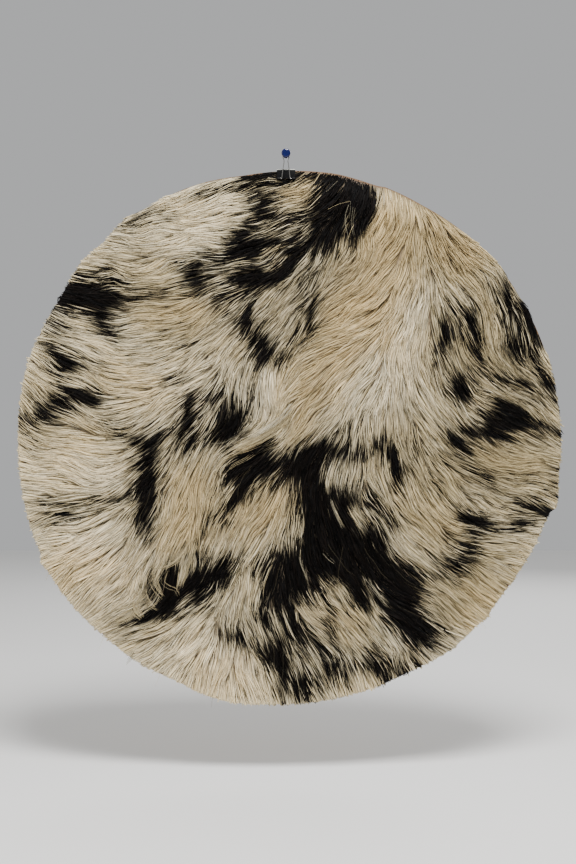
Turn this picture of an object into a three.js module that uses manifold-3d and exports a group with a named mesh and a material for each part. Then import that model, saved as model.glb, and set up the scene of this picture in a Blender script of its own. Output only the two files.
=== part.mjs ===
// A round goatskin with its hair on, hung by a binder clip from a push pin in a wall.
// Millimetres, +Z up. The hair faces -Y and the flesh side faces the wall, which is the plane y = 0.
// The origin is where the pin's needle enters the wall.
import * as THREE from "three";
import { mergeVertices } from "three/addons/utils/BufferGeometryUtils.js";
import Module from "manifold-3d";

const wasm = await Module();
wasm.setup();

// Driving dimensions
const FIT_GAP = 0.3; // between pieces that touch on the real thing

const SKIN = {
  centreX: 3.6, // middle of the cut round, from the pin
  centreZ: -291.5,
  wallGap: 0.6, // the middle of the flesh side lies on the wall
  restShare: 0.35, // share of the radius that stays flat on the wall
  curlPower: 1.8, // how late the dried rim curls away from the wall
  coatDepth: 12.5, // hide and hair together, away from the rim
  rimDepth: 8, // the same at the cut edge
  rimFall: 26, // width over which the coat thins towards the edge
  sectors: 120,
  frontRings: 20,
  backRings: 6,
};

const BITE = { thickness: 3.4, margin: 2 }; // hide and crushed hair in the clip's jaws

const CLIP = {
  width: 19, // three quarters of an inch
  steel: 0.45,
  midY: -4.8, // plane half way between the jaws
  spineZ: -14,
  spineDepth: 7.4,
  lipZ: -23.8, // axis of the rolled lips
  rollRadius: 1.25,
  boreRadius: 0.75,
  notchHalf: 5.6, // the lips are cut away between the handle's feet
  notchRise: 1.4,
};

const WIRE = {
  radius: 0.45,
  footX: 8.6, // end of a foot inside the rolled lip
  legX: 4.3,
  bendRise: 0.95,
  neckX: 2.1,
  neckV: 18.4, // distances along the handle from the lip
  tipV: 25.4,
  eyeRadius: 3.2,
};

const PIN = {
  needleRadius: 0.6,
  needleTip: 3.8, // depth in the wall
  tipTaper: 3,
  needleTail: -15.9, // end of the needle inside the head
  headBack: -12.2,
  headLength: 12,
  boreRadius: 0.9,
};

// Outline of the cut: polar angle from +X in degrees and radius, joined by short straight cuts
const RIM = [
  { angle: 0, radius: 280.5 },
  { angle: 20, radius: 279.5 },
  { angle: 40, radius: 280.4 },
  { angle: 60, radius: 277 },
  { angle: 71, radius: 275.6 },
  { angle: 80, radius: 277.3 },
  { angle: 100, radius: 275.2 },
  { angle: 116, radius: 279.7 },
  { angle: 127, radius: 282.7 },
  { angle: 134, radius: 278.6 },
  { angle: 140, radius: 281.9 },
  { angle: 150, radius: 277.3 },
  { angle: 165, radius: 280.6 },
  { angle: 193, radius: 281.7 },
  { angle: 204, radius: 282.7 },
  { angle: 207, radius: 287.1 },
  { angle: 213, radius: 283.6 },
  { angle: 227, radius: 278.9 },
  { angle: 245, radius: 276.8 },
  { angle: 255, radius: 280.2 },
  { angle: 266, radius: 276.4 },
  { angle: 283, radius: 273.4 },
  { angle: 294, radius: 272 },
  { angle: 306, radius: 276 },
  { angle: 314, radius: 274.6 },
  { angle: 318, radius: 277 },
  { angle: 324, radius: 273.4 },
  { angle: 342, radius: 277.5 },
  { angle: 345, radius: 285.7 },
  { angle: 351, radius: 281.1 },
];

// How far the dried rim stands off the wall, by polar angle
const CURL = [
  { angle: 0, lift: 9 },
  { angle: 45, lift: 4 },
  { angle: 90, lift: 2.5 },
  { angle: 135, lift: 5 },
  { angle: 180, lift: 11 },
  { angle: 225, lift: 22 },
  { angle: 270, lift: 15 },
  { angle: 315, lift: 12 },
];

// Comb strokes: the way the hair runs at points measured from the skin's middle,
// as a heading in degrees from +X
const COMB = [
  { x: -150, z: 225, heading: 200 },
  { x: -70, z: 235, heading: 192 },
  { x: 0, z: 235, heading: 208 },
  { x: 60, z: 225, heading: 230 },
  { x: 95, z: 250, heading: 275 },
  { x: 150, z: 200, heading: 268 },
  { x: 195, z: 180, heading: 322 },
  { x: 225, z: 110, heading: 285 },
  { x: 120, z: 140, heading: 243 },
  { x: 60, z: 110, heading: 208 },
  { x: 0, z: 130, heading: 245 },
  { x: -90, z: 120, heading: 212 },
  { x: -180, z: 150, heading: 172 },
  { x: -240, z: 60, heading: 143 },
  { x: -150, z: 25, heading: 208 },
  { x: -240, z: -50, heading: 170 },
  { x: -60, z: 40, heading: 250 },
  { x: 30, z: 40, heading: 238 },
  { x: 130, z: 60, heading: 280 },
  { x: 220, z: 40, heading: 322 },
  { x: 100, z: -20, heading: 270 },
  { x: 190, z: -40, heading: 330 },
  { x: 250, z: -60, heading: 358 },
  { x: -60, z: -60, heading: 236 },
  { x: -140, z: -70, heading: 245 },
  { x: -210, z: -140, heading: 208 },
  { x: -150, z: -200, heading: 208 },
  { x: -70, z: -150, heading: 240 },
  { x: 0, z: -120, heading: 262 },
  { x: 80, z: -170, heading: 307 },
  { x: -30, z: -235, heading: 285 },
  { x: 100, z: -235, heading: 300 },
  { x: 180, z: -140, heading: 330 },
  { x: 150, z: -80, heading: 325 },
];

// Flat places where short black hair lies lower than the cream locks round them
const HOLLOWS = [
  { x: 58, z: 238, heading: 250, length: 42, width: 30, depth: 2.6 },
  { x: -38, z: 222, heading: 195, length: 26, width: 26, depth: 2 },
  { x: -205, z: 142, heading: 170, length: 32, width: 15, depth: 2 },
  { x: -98, z: 165, heading: 90, length: 20, width: 15, depth: 2 },
  { x: -225, z: 45, heading: 165, length: 34, width: 13, depth: 2 },
  { x: -147, z: -30, heading: 90, length: 40, width: 12, depth: 2.4 },
  { x: -32, z: 95, heading: 250, length: 18, width: 15, depth: 2 },
  { x: 250, z: 112, heading: 300, length: 30, width: 12, depth: 1.6 },
  { x: 222, z: 22, heading: 340, length: 28, width: 14, depth: 2 },
  { x: -42, z: -32, heading: 215, length: 26, width: 13, depth: 2.4 },
  { x: 12, z: -28, heading: 240, length: 32, width: 16, depth: 2.6 },
  { x: 25, z: -80, heading: 270, length: 46, width: 15, depth: 2.8 },
  { x: 5, z: -145, heading: 285, length: 34, width: 26, depth: 2.8 },
  { x: 90, z: -130, heading: 310, length: 32, width: 24, depth: 2.8 },
  { x: 118, z: -178, heading: 310, length: 38, width: 24, depth: 2.8 },
  { x: -90, z: -150, heading: 200, length: 34, width: 14, depth: 2.2 },
  { x: -128, z: -168, heading: 250, length: 22, width: 11, depth: 2.2 },
];

// Locks on the face, and the flat pointed ones that hang past the cut where the hair runs outwards
const RIDGES = { count: 130, height: 6.2, mean: 2.4, most: 7.5, halfLength: 34, halfWidth: 9 };
const RIM_LOCKS = { count: 150, root: 6.5, flatness: 0.4, length: 19, buried: 11, least: 0.3 };

const GOLDEN_ANGLE = Math.PI * (3 - Math.sqrt(5));

// Small helpers
const radians = THREE.MathUtils.degToRad;
const clamp = THREE.MathUtils.clamp;

// Value of a column at a polar angle, straight between the table's rows.
function aroundTable(rows, column, angle) {
  const turn = THREE.MathUtils.euclideanModulo(angle, 360);
  const next = rows.findIndex((row) => row.angle > turn);
  const high = next < 0 ? { ...rows[0], angle: 360 } : rows[next];
  const low = next < 0 ? rows[rows.length - 1] : rows[next - 1];
  const share = (turn - low.angle) / (high.angle - low.angle);
  return THREE.MathUtils.lerp(low[column], high[column], share);
}

// A closed geometry as a solid that can be cut and joined.
function solidFrom(geometry) {
  const bare = new THREE.BufferGeometry().setAttribute("position", geometry.attributes.position);
  if (geometry.index) bare.setIndex(geometry.index);
  const merged = mergeVertices(bare, 1e-4);
  return new wasm.Manifold(
    new wasm.Mesh({
      numProp: 3,
      vertProperties: new Float32Array(merged.attributes.position.array),
      triVerts: new Uint32Array(merged.index.array),
    }),
  );
}

function geometryFrom(solid) {
  const { vertProperties, triVerts } = solid.getMesh();
  const geometry = new THREE.BufferGeometry();
  geometry.setAttribute("position", new THREE.BufferAttribute(vertProperties, 3));
  geometry.setIndex(new THREE.BufferAttribute(triVerts, 1));
  geometry.computeVertexNormals();
  return geometry;
}

// A section drawn as [towards the front from the jaws' middle, z], extruded across the clip.
function acrossClip(shape, width) {
  const options = { depth: width, bevelEnabled: false, curveSegments: 14 };
  const geometry = new THREE.ExtrudeGeometry(shape, options);
  geometry.translate(0, 0, -width / 2);
  const basis = new THREE.Matrix4().makeBasis(
    new THREE.Vector3(0, -1, 0),
    new THREE.Vector3(0, 0, 1),
    new THREE.Vector3(-1, 0, 0),
  );
  basis.setPosition(0, CLIP.midY, 0);
  return geometry.applyMatrix4(basis);
}

function polygon(points) {
  return new THREE.Shape(points.map(([across, up]) => new THREE.Vector2(across, up)));
}

// Goatskin: how the hair runs, how deep the coat is and how the hide curls
function hairHeading(x, z) {
  let along = 0;
  let up = 0;
  for (const stroke of COMB) {
    const nearness = 1 / (200 + (x - stroke.x) ** 2 + (z - stroke.z) ** 2) ** 1.5;
    along += nearness * Math.cos(radians(stroke.heading));
    up += nearness * Math.sin(radians(stroke.heading));
  }
  return Math.atan2(up, along);
}

// A bump that is long one way: 1 in its middle, 0 well outside it.
function tuftShape(x, z, tuft) {
  const [c, s] = [Math.cos(tuft.turn), Math.sin(tuft.turn)];
  const along = ((x - tuft.x) * c + (z - tuft.z) * s) / tuft.length;
  const across = ((z - tuft.z) * c - (x - tuft.x) * s) / tuft.width;
  return Math.exp(-along * along - across * across);
}

const ridges = Array.from({ length: RIDGES.count }, (_, i) => {
  const reach = 268 * Math.sqrt((i + 0.5) / RIDGES.count);
  const x = reach * Math.cos(i * GOLDEN_ANGLE);
  const z = reach * Math.sin(i * GOLDEN_ANGLE);
  const size = 0.75 + 0.5 * Math.abs(Math.sin(i * 2.7));
  return {
    x,
    z,
    turn: hairHeading(x, z),
    length: RIDGES.halfLength * size,
    width: RIDGES.halfWidth * size,
    height: RIDGES.height * (0.6 + 0.4 * Math.sin(i * 1.9)),
  };
});

const hollows = HOLLOWS.map((row) => ({ ...row, turn: radians(row.heading) }));

function coatDepth(x, z, fromRim) {
  const edge = clamp(fromRim / SKIN.rimFall, 0, 1);
  const full = THREE.MathUtils.lerp(SKIN.rimDepth, SKIN.coatDepth, Math.sin((edge * Math.PI) / 2));
  const lumps = ridges.reduce((sum, ridge) => sum + ridge.height * tuftShape(x, z, ridge), 0);
  const flats = hollows.reduce((sum, flat) => sum + flat.depth * tuftShape(x, z, flat), 0);
  const relief = Math.min(lumps, RIDGES.most) - RIDGES.mean - flats;
  return full + (0.3 + 0.7 * edge) * relief;
}

function fleshSideY(angle, share) {
  const curl = clamp((share - SKIN.restShare) / (1 - SKIN.restShare), 0, 1);
  return -SKIN.wallGap - aroundTable(CURL, "lift", angle) * curl ** SKIN.curlPower;
}

// Rings from the front's middle over the rim to the back's middle:
// share of the radius, and share of the coat's depth above the flesh side.
function skinRings() {
  const rings = [];
  for (let i = 0; i <= SKIN.frontRings; i += 1) {
    const share = i / (SKIN.frontRings + 0.35);
    rings.push(new THREE.Vector2(share, 1));
  }
  rings.push(new THREE.Vector2(1, 0.6), new THREE.Vector2(0.998, 0));
  for (let i = 1; i <= SKIN.backRings; i += 1) {
    rings.push(new THREE.Vector2(1 - (i / SKIN.backRings) ** 0.8, 0));
  }
  rings[rings.length - 1].x = 0;
  return rings;
}

function skinSlab() {
  const geometry = new THREE.LatheGeometry(skinRings(), SKIN.sectors);
  const place = geometry.attributes.position;
  for (let i = 0; i < place.count; i += 1) {
    const share = Math.hypot(place.getX(i), place.getZ(i));
    const raised = place.getY(i);
    const angle = THREE.MathUtils.radToDeg(Math.atan2(place.getZ(i), place.getX(i)));
    const rim = aroundTable(RIM, "radius", angle);
    const x = share * rim * Math.cos(radians(angle));
    const z = share * rim * Math.sin(radians(angle));
    const depth = raised > 0 ? coatDepth(x, z, rim * (1 - share)) : 0;
    const y = fleshSideY(angle, share) - raised * depth;
    place.setXYZ(i, SKIN.centreX + x, y, SKIN.centreZ + z);
  }
  return solidFrom(geometry);
}

// A pointed lock, rooted inside the coat, that hangs over the cut edge.
function rimLock(i) {
  const angle = (360 * (i + 0.35 * Math.sin(i * 2.3))) / RIM_LOCKS.count;
  const rim = aroundTable(RIM, "radius", angle);
  const outward = radians(angle);
  const inset = rim - RIM_LOCKS.buried;
  const [x, z] = [inset * Math.cos(outward), inset * Math.sin(outward)];
  const heading = hairHeading(x, z);
  if (Math.cos(heading - outward) < RIM_LOCKS.least) return null;
  const size = 0.7 + 0.3 * Math.sin(i * 3.1);
  const cone = new THREE.ConeGeometry(RIM_LOCKS.root * size, RIM_LOCKS.length * size, 4);
  cone.translate(0, (RIM_LOCKS.length * size) / 2, 0);
  cone.scale(1, 1, RIM_LOCKS.flatness);
  const basis = new THREE.Matrix4().makeBasis(
    new THREE.Vector3(-Math.sin(heading), 0, Math.cos(heading)),
    new THREE.Vector3(Math.cos(heading), 0, Math.sin(heading)),
    new THREE.Vector3(0, 1, 0),
  );
  const middle = fleshSideY(angle, inset / rim) - SKIN.rimDepth * (0.5 + 0.15 * Math.sin(i * 1.7));
  basis.setPosition(SKIN.centreX + x, middle, SKIN.centreZ + z);
  return solidFrom(cone.applyMatrix4(basis));
}

// What the clip's jaws leave no room for: hair in front of the bitten edge and hide behind it.
function jawSpace() {
  const half = BITE.thickness / 2;
  const width = CLIP.width + 2 * BITE.margin;
  const under = CLIP.lipZ - 0.8;
  const front = [
    [half, 5],
    [half, under],
    [half + 1.6, under - 1.6],
    [half + 8, under - 6],
    [60, under - 6],
    [60, 5],
  ];
  const back = [
    [-half, 5],
    [-15, 5],
    [-15, under - 2],
    [-half, under - 2],
  ];
  return [front, back].map((section) => solidFrom(acrossClip(polygon(section), width)));
}

function goatskin() {
  let solid = skinSlab();
  for (let i = 0; i < RIM_LOCKS.count; i += 1) {
    const lock = rimLock(i);
    if (lock) solid = solid.add(lock);
  }
  for (const space of jawSpace()) solid = solid.subtract(space);
  return geometryFrom(solid);
}

// Binder clip
function clipBody() {
  const { spineZ, lipZ, steel, rollRadius, boreRadius } = CLIP;
  const spine = CLIP.spineDepth / 2;
  const lip = BITE.thickness / 2 + FIT_GAP;
  const channel = polygon([
    [-spine, spineZ - 0.5],
    [-spine + 0.5, spineZ],
    [spine - 0.5, spineZ],
    [spine, spineZ - 0.5],
    [lip + steel, lipZ],
    [lip, lipZ],
    [spine - steel, spineZ - steel],
    [-spine + steel, spineZ - steel],
    [-lip, lipZ],
    [-lip - steel, lipZ],
  ]);
  let solid = solidFrom(acrossClip(channel, CLIP.width));
  for (const side of [1, -1]) {
    const roll = new THREE.Shape().absarc(side * (lip + rollRadius), lipZ, rollRadius, 0, 2 * Math.PI);
    solid = solid.add(solidFrom(acrossClip(roll, CLIP.width)));
    const bore = new THREE.Shape().absarc(side * (lip + rollRadius), lipZ, boreRadius, 0, 2 * Math.PI);
    solid = solid.subtract(solidFrom(acrossClip(bore, CLIP.width + 1)));
  }
  const notch = new THREE.BoxGeometry(2 * CLIP.notchHalf, 20, 8);
  notch.translate(0, CLIP.midY, lipZ + CLIP.notchRise - 4);
  return geometryFrom(solid.subtract(solidFrom(notch)));
}

// One bent wire: a foot in the lip, a leg, a round eye, and the same back again.
// It is drawn in the plane y = 0 with the lip's axis along x and the eye upwards.
function clipHandle() {
  const side = [
    [WIRE.footX, 0],
    [WIRE.legX + 1.6, 0],
    [WIRE.legX + 0.5, 0.12],
    [WIRE.legX, WIRE.bendRise],
    [THREE.MathUtils.lerp(WIRE.legX, WIRE.neckX, 0.5), WIRE.neckV / 2],
    [WIRE.neckX + 0.05, WIRE.neckV - 2],
    [WIRE.neckX, WIRE.neckV],
  ];
  const eyeV = WIRE.tipV - WIRE.eyeRadius;
  const eye = [-20, 10, 40, 65].map((turn) => [
    WIRE.eyeRadius * Math.cos(radians(turn)),
    eyeV + WIRE.eyeRadius * Math.sin(radians(turn)),
  ]);
  const half = [...side, ...eye];
  const mirrored = half.map(([x, v]) => [-x, v]).reverse();
  const route = [...half, [0, WIRE.tipV], ...mirrored].map(([x, v]) => new THREE.Vector3(x, 0, v));
  const section = new THREE.Shape().absarc(0, 0, WIRE.radius, 0, 2 * Math.PI);
  const curve = new THREE.CatmullRomCurve3(route, false, "centripetal");
  const options = { extrudePath: curve, steps: 56, curveSegments: 4, bevelEnabled: false };
  return new THREE.ExtrudeGeometry(section, options);
}

// Push pin
function pinNeedle() {
  const r = PIN.needleRadius;
  const profile = [
    [0, PIN.needleTail],
    [r, PIN.needleTail],
    [r, PIN.needleTip - PIN.tipTaper],
    [0, PIN.needleTip],
  ];
  return new THREE.LatheGeometry(profile.map(([radius, y]) => new THREE.Vector2(radius, y)), 16);
}

function pinHead() {
  const back = PIN.headBack;
  const front = back - PIN.headLength;
  const profile = [
    [0, front],
    [3.1, front],
    [4, front + 0.2],
    [4.6, front + 0.8],
    [4.7, front + 1.5],
    [4.3, front + 2.1],
    [3.1, front + 2.7],
    [2.65, front + 3.6],
    [2.35, front + 7.2],
    [2.5, front + 8.6],
    [3.2, front + 9.7],
    [3.8, front + 10.4],
    [3.85, front + 11.3],
    [3.4, back],
    [PIN.boreRadius, back],
    [PIN.boreRadius, PIN.needleTail - FIT_GAP],
    [0, PIN.needleTail - FIT_GAP],
  ];
  return new THREE.LatheGeometry(profile.map(([radius, y]) => new THREE.Vector2(radius, y)), 24);
}

// Finishes
const finishes = {
  hair: new THREE.MeshStandardMaterial({ color: 0xc4b594, roughness: 0.75, metalness: 0 }),
  blackSteel: new THREE.MeshStandardMaterial({ color: 0x141416, roughness: 0.35, metalness: 0.4 }),
  brightWire: new THREE.MeshStandardMaterial({ color: 0xc9cbcc, roughness: 0.22, metalness: 1 }),
  bluePlastic: new THREE.MeshStandardMaterial({ color: 0x1c3fae, roughness: 0.2, metalness: 0 }),
  needleSteel: new THREE.MeshStandardMaterial({ color: 0xb9bbbd, roughness: 0.3, metalness: 1 }),
};

function piece(name, geometry, material) {
  const mesh = new THREE.Mesh(geometry, material);
  mesh.name = name;
  return mesh;
}

// Assembly
const part = new THREE.Group();
part.add(piece("goatskin", goatskin(), finishes.hair));
part.add(piece("clip_body", clipBody(), finishes.blackSteel));

const rollOffset = BITE.thickness / 2 + FIT_GAP + CLIP.rollRadius;
const cornerOffset = CLIP.spineDepth / 2 + FIT_GAP + WIRE.radius;
const frontLean = Math.atan2(cornerOffset - rollOffset, CLIP.spineZ - CLIP.lipZ);

const frontHandle = piece("clip_handle_front", clipHandle(), finishes.brightWire);
frontHandle.position.set(0, CLIP.midY - rollOffset, CLIP.lipZ);
frontHandle.rotation.x = frontLean;
const backHandle = piece("clip_handle_back", clipHandle(), finishes.brightWire);
backHandle.position.set(0, CLIP.midY + rollOffset, CLIP.lipZ);
backHandle.rotation.x = Math.PI;

part.add(frontHandle, backHandle);
part.add(piece("pin_needle", pinNeedle(), finishes.needleSteel));
part.add(piece("pin_head", pinHead(), finishes.bluePlastic));

export default part;
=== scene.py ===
# %% [markdown]
# A round goatskin with its hair on hangs from a small binder clip on a push pin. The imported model
# gives every size and place, and this lesson dresses it: a thin hide, a coat of many thousand
# strands that follow the way the hair grows, and the clip and pin in bent steel and clear plastic.
# The frame is loaded first, so that nothing has to be fitted afterwards.

# %% Load the frame
import math
from collections import namedtuple

import bmesh
import bpy
import numpy as np
from mathutils import Matrix, Vector
from mathutils.bvhtree import BVHTree
from mathutils.kdtree import KDTree


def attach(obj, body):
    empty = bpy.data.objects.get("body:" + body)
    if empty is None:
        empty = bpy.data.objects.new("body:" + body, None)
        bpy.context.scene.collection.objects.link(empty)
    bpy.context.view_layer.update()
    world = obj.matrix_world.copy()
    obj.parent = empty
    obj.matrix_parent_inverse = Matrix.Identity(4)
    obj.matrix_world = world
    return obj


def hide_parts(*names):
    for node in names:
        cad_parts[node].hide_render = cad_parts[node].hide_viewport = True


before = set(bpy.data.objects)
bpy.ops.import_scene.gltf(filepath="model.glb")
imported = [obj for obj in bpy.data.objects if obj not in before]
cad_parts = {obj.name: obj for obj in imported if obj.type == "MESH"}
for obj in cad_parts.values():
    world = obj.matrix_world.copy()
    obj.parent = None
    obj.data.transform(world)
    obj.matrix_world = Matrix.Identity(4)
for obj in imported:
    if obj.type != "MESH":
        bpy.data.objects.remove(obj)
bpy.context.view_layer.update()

MM = 0.001
rng = np.random.default_rng(11)

# %% [markdown]
# The photograph is taken square on. A long lens placed level with the middle of the skin gives the
# same straight view. The picture is 864 pixels high and one pixel spans 1.035 mm at the skin, which
# fixes the angle of view without any trial and error.

# %% Camera
SKIN_X, SKIN_Z = 3.6, -291.5  # middle of the skin from the pin, in millimetres
PIXEL = 1.035  # millimetres across one pixel at the skin
VIEW_DISTANCE = 1600.0
COAT_FRONT = 12.0  # the hair's mean height off the wall, which the scale belongs to
PICTURE_WIDTH, PICTURE_HEIGHT = 576, 864
MIDDLE_PIXEL = (289.5, 436.5)  # where the skin's middle lies in the picture

camera_data = bpy.data.cameras.new("camera")
camera = bpy.data.objects.new("camera", camera_data)
bpy.context.collection.objects.link(camera)
camera_data.sensor_width = 36.0
camera_data.lens = camera_data.sensor_width * VIEW_DISTANCE / (PICTURE_HEIGHT * PIXEL)
camera.location = (
    (SKIN_X + (PICTURE_WIDTH / 2 - MIDDLE_PIXEL[0]) * PIXEL) * MM,
    -(VIEW_DISTANCE + COAT_FRONT) * MM,
    (SKIN_Z - (PICTURE_HEIGHT / 2 - MIDDLE_PIXEL[1]) * PIXEL) * MM,
)
camera.rotation_euler = (math.radians(90), 0, 0)
bpy.context.scene.camera = camera
print("lens", round(camera_data.lens, 1), "mm")

# %% [markdown]
# A photographer would light a fur with one broad lamp from above and to the right, so that every
# lock throws a little shadow on the next, and let pale surroundings fill the rest. The floor is
# plain and lies well below the hanging skin.

# %% Floor and light
FLOOR_Z = -0.64


def area_light(name, place, target, width, watts):
    data = bpy.data.lights.new(name, "AREA")
    data.size, data.energy = width, watts
    lamp = bpy.data.objects.new(name, data)
    lamp.location = place
    lamp.rotation_euler = (Vector(target) - Vector(place)).to_track_quat("-Z", "Y").to_euler()
    bpy.context.collection.objects.link(lamp)


def plain_material(name, colour, roughness):
    material = bpy.data.materials.new(name)
    material.use_nodes = True
    shader = material.node_tree.nodes["Principled BSDF"]
    shader.inputs["Base Color"].default_value = (*colour, 1)
    shader.inputs["Roughness"].default_value = roughness
    return material


skin_middle = (SKIN_X * MM, 0, SKIN_Z * MM)
area_light("key light", (0.2, -1.25, 1.3), skin_middle, 0.7, 84)
area_light("fill light", (-1.6, -1.6, 0.1), skin_middle, 1.6, 8)
area_light("back light", (0.6, 1.8, 0.6), skin_middle, 1.4, 16)

world = bpy.data.worlds.new("pale studio")
world.use_nodes = True
world.node_tree.nodes["Background"].inputs["Color"].default_value = (0.86, 0.87, 0.88, 1)
world.node_tree.nodes["Background"].inputs["Strength"].default_value = 0.55
bpy.context.scene.world = world

bpy.ops.mesh.primitive_plane_add(size=6, location=(0, 0, FLOOR_Z))
floor = bpy.context.object
floor.name = "floor"
floor.data.materials.append(plain_material("pale floor", (0.8, 0.79, 0.77), 0.7))
print("lights", [lamp.name for lamp in bpy.data.lights])

# %% [markdown]
# The skin was cut round by hand, in short straight cuts, so its outline is a table of corners in
# polar form. When it dried, its rim curled off the wall, most of all at the lower left. Both tables
# are read by angle, and everything that lies on the skin asks these two functions for its place.

# %% Outline and curl of the hide
Corner = namedtuple("Corner", "angle radius")
RIM = [Corner(*row) for row in (
    (0, 280.5), (10, 279), (20, 279.5), (31, 279.2), (40, 280.4), (50, 278.8), (60, 277),
    (69, 277.5), (71, 275.6), (80, 277.3), (90, 276), (100, 275.2), (109, 278.6), (116, 279.7),
    (120, 278.9), (127, 282.7), (134, 278.6), (140, 281.9), (145, 278.5), (150, 277.3),
    (154, 278.4), (163, 280.4), (169, 280.9), (180, 280), (193, 281.7), (200, 282.6),
    (205, 282.7), (207, 287.1), (209, 284.2), (213, 283.6), (221.5, 281.2), (227, 278.9),
    (233, 279.3), (239, 278.3), (245, 276.8), (252.6, 279.8), (258, 280.4), (266, 276.4),
    (276, 274.8), (283, 273.4), (289, 273.3), (294, 272), (302, 273.6), (303, 274.5),
    (307, 276.2), (314.5, 274.6), (318.3, 277), (319, 274.7), (323, 273.4), (329, 275.2),
    (334, 276.3), (340, 278), (344, 279.9), (345, 285.7), (348, 283.9), (352, 281.1),
)]
Lift = namedtuple("Lift", "angle lift")
CURL = [Lift(*row) for row in (
    (0, 9), (45, 4), (90, 2.5), (135, 5), (180, 11), (225, 22), (270, 15), (315, 12),
)]
WALL_GAP = 0.6  # the middle of the flesh side lies on the wall
REST_SHARE = 0.35  # share of the radius that stays flat on the wall
CURL_POWER = 1.8
HIDE = 1.5  # thickness of the dried hide
CLIP_X, CLIP_Z = -SKIN_X, 267.7  # the clip's lips, from the skin's middle
BITE_LIFT, BITE_WIDTH = 0.35, 20.0  # the clip's jaws hold the hide a little off the wall


def around(table, x, z):
    """The table's second column at the polar angle of a point, straight between its rows."""
    angle = np.degrees(np.arctan2(z, x)) % 360
    turns = [row[0] for row in table] + [360]
    values = [row[1] for row in table] + [table[0][1]]
    return np.interp(angle, turns, values)


def stand_off(x, z):
    """How far the flesh side stands off the wall, in millimetres."""
    share = np.hypot(x, z) / around(RIM, x, z)
    curl = np.clip((share - REST_SHARE) / (1 - REST_SHARE), 0, 1.04) ** CURL_POWER
    bitten = BITE_LIFT * np.exp(-((x - CLIP_X) ** 2 + (z - CLIP_Z) ** 2) / BITE_WIDTH**2)
    return WALL_GAP + around(CURL, x, z) * curl + bitten


def in_frame(x, height, z):
    """Points from the skin's middle, with their height off the wall, as metres in the part's frame."""
    return np.stack([SKIN_X + x, -height, SKIN_Z + z], axis=-1) * MM


print(len(RIM), "corners on the rim, which curls up to", max(row.lift for row in CURL), "mm")

# %% [markdown]
# How deep the hair may stand is already settled by the solid: a ray from the front finds its lumpy
# face, and the hide's own height is taken off. The depths are kept on a coarse square grid, which
# is quick to read for a whole array of points at once. The same kind of grid serves for every
# other field on the skin.

# %% Depth of the coat, read from the solid
GRID_STEP = 4.0
GRID_REACH = 304.0
RAY_START = 100.0  # height off the wall from which the rays are cast
MISSED_DEPTH = 8.0  # height of the solid's face where a ray misses it
grid_line = np.arange(-GRID_REACH, GRID_REACH + 1, GRID_STEP)
GRID_X, GRID_Z = np.meshgrid(grid_line, grid_line)


def read_grid(grid, x, z):
    """Values of a grid at any points, blended from the four nearest."""
    column = np.clip((x + GRID_REACH) / GRID_STEP, 0, len(grid_line) - 1.001)
    row = np.clip((z + GRID_REACH) / GRID_STEP, 0, len(grid_line) - 1.001)
    i, j = row.astype(int), column.astype(int)
    fi, fj = row - i, column - j
    if grid.ndim == 3:
        fi, fj = fi[..., None], fj[..., None]
    near = grid[i, j] * (1 - fj) + grid[i, j + 1] * fj
    far = grid[i + 1, j] * (1 - fj) + grid[i + 1, j + 1] * fj
    return near * (1 - fi) + far * fi


def smooth_grid(grid, times):
    for _ in range(times):
        padded = np.pad(grid, 1, mode="edge")
        grid = (padded[:-2, 1:-1] + padded[2:, 1:-1] + padded[1:-1, :-2] + padded[1:-1, 2:]) / 4
    return grid


def coat_depth_grid():
    solid = BVHTree.FromObject(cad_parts["goatskin"], bpy.context.evaluated_depsgraph_get())
    reach = np.hypot(GRID_X, GRID_Z)
    inside = np.minimum(1, (around(RIM, GRID_X, GRID_Z) - 3) / np.maximum(reach, 1))
    spots = in_frame(GRID_X * inside, np.full_like(GRID_X, RAY_START), GRID_Z * inside)
    depth = np.empty(GRID_X.shape)
    for index in np.ndindex(depth.shape):
        hit = solid.ray_cast(Vector(spots[index]), Vector((0, 1, 0)))[0]
        depth[index] = -hit.y / MM if hit else MISSED_DEPTH
    return smooth_grid(depth - stand_off(GRID_X * inside, GRID_Z * inside) - HIDE, 1)


COAT_GRID = coat_depth_grid()
JAW_HALF, JAW_HAIR = 11.5, 1.6  # half width and height of the hair crushed by the clip
JAW_SLOPE = 1.1  # how fast the hair rises again beside the jaws
LEAST_COAT = 3.0


def coat_depth(x, z):
    """Height of the hair's top over the hide. The clip crushes it."""
    aside = np.maximum(np.abs(x - CLIP_X) - JAW_HALF, 0)
    below = np.maximum(CLIP_Z - 1 - z, 0)
    crushed = JAW_HAIR + JAW_SLOPE * np.hypot(aside, below)
    return np.minimum(np.maximum(read_grid(COAT_GRID, x, z), LEAST_COAT), crushed)


print("coat depth", COAT_GRID.min().round(1), "to", COAT_GRID.max().round(1), "mm")
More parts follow.
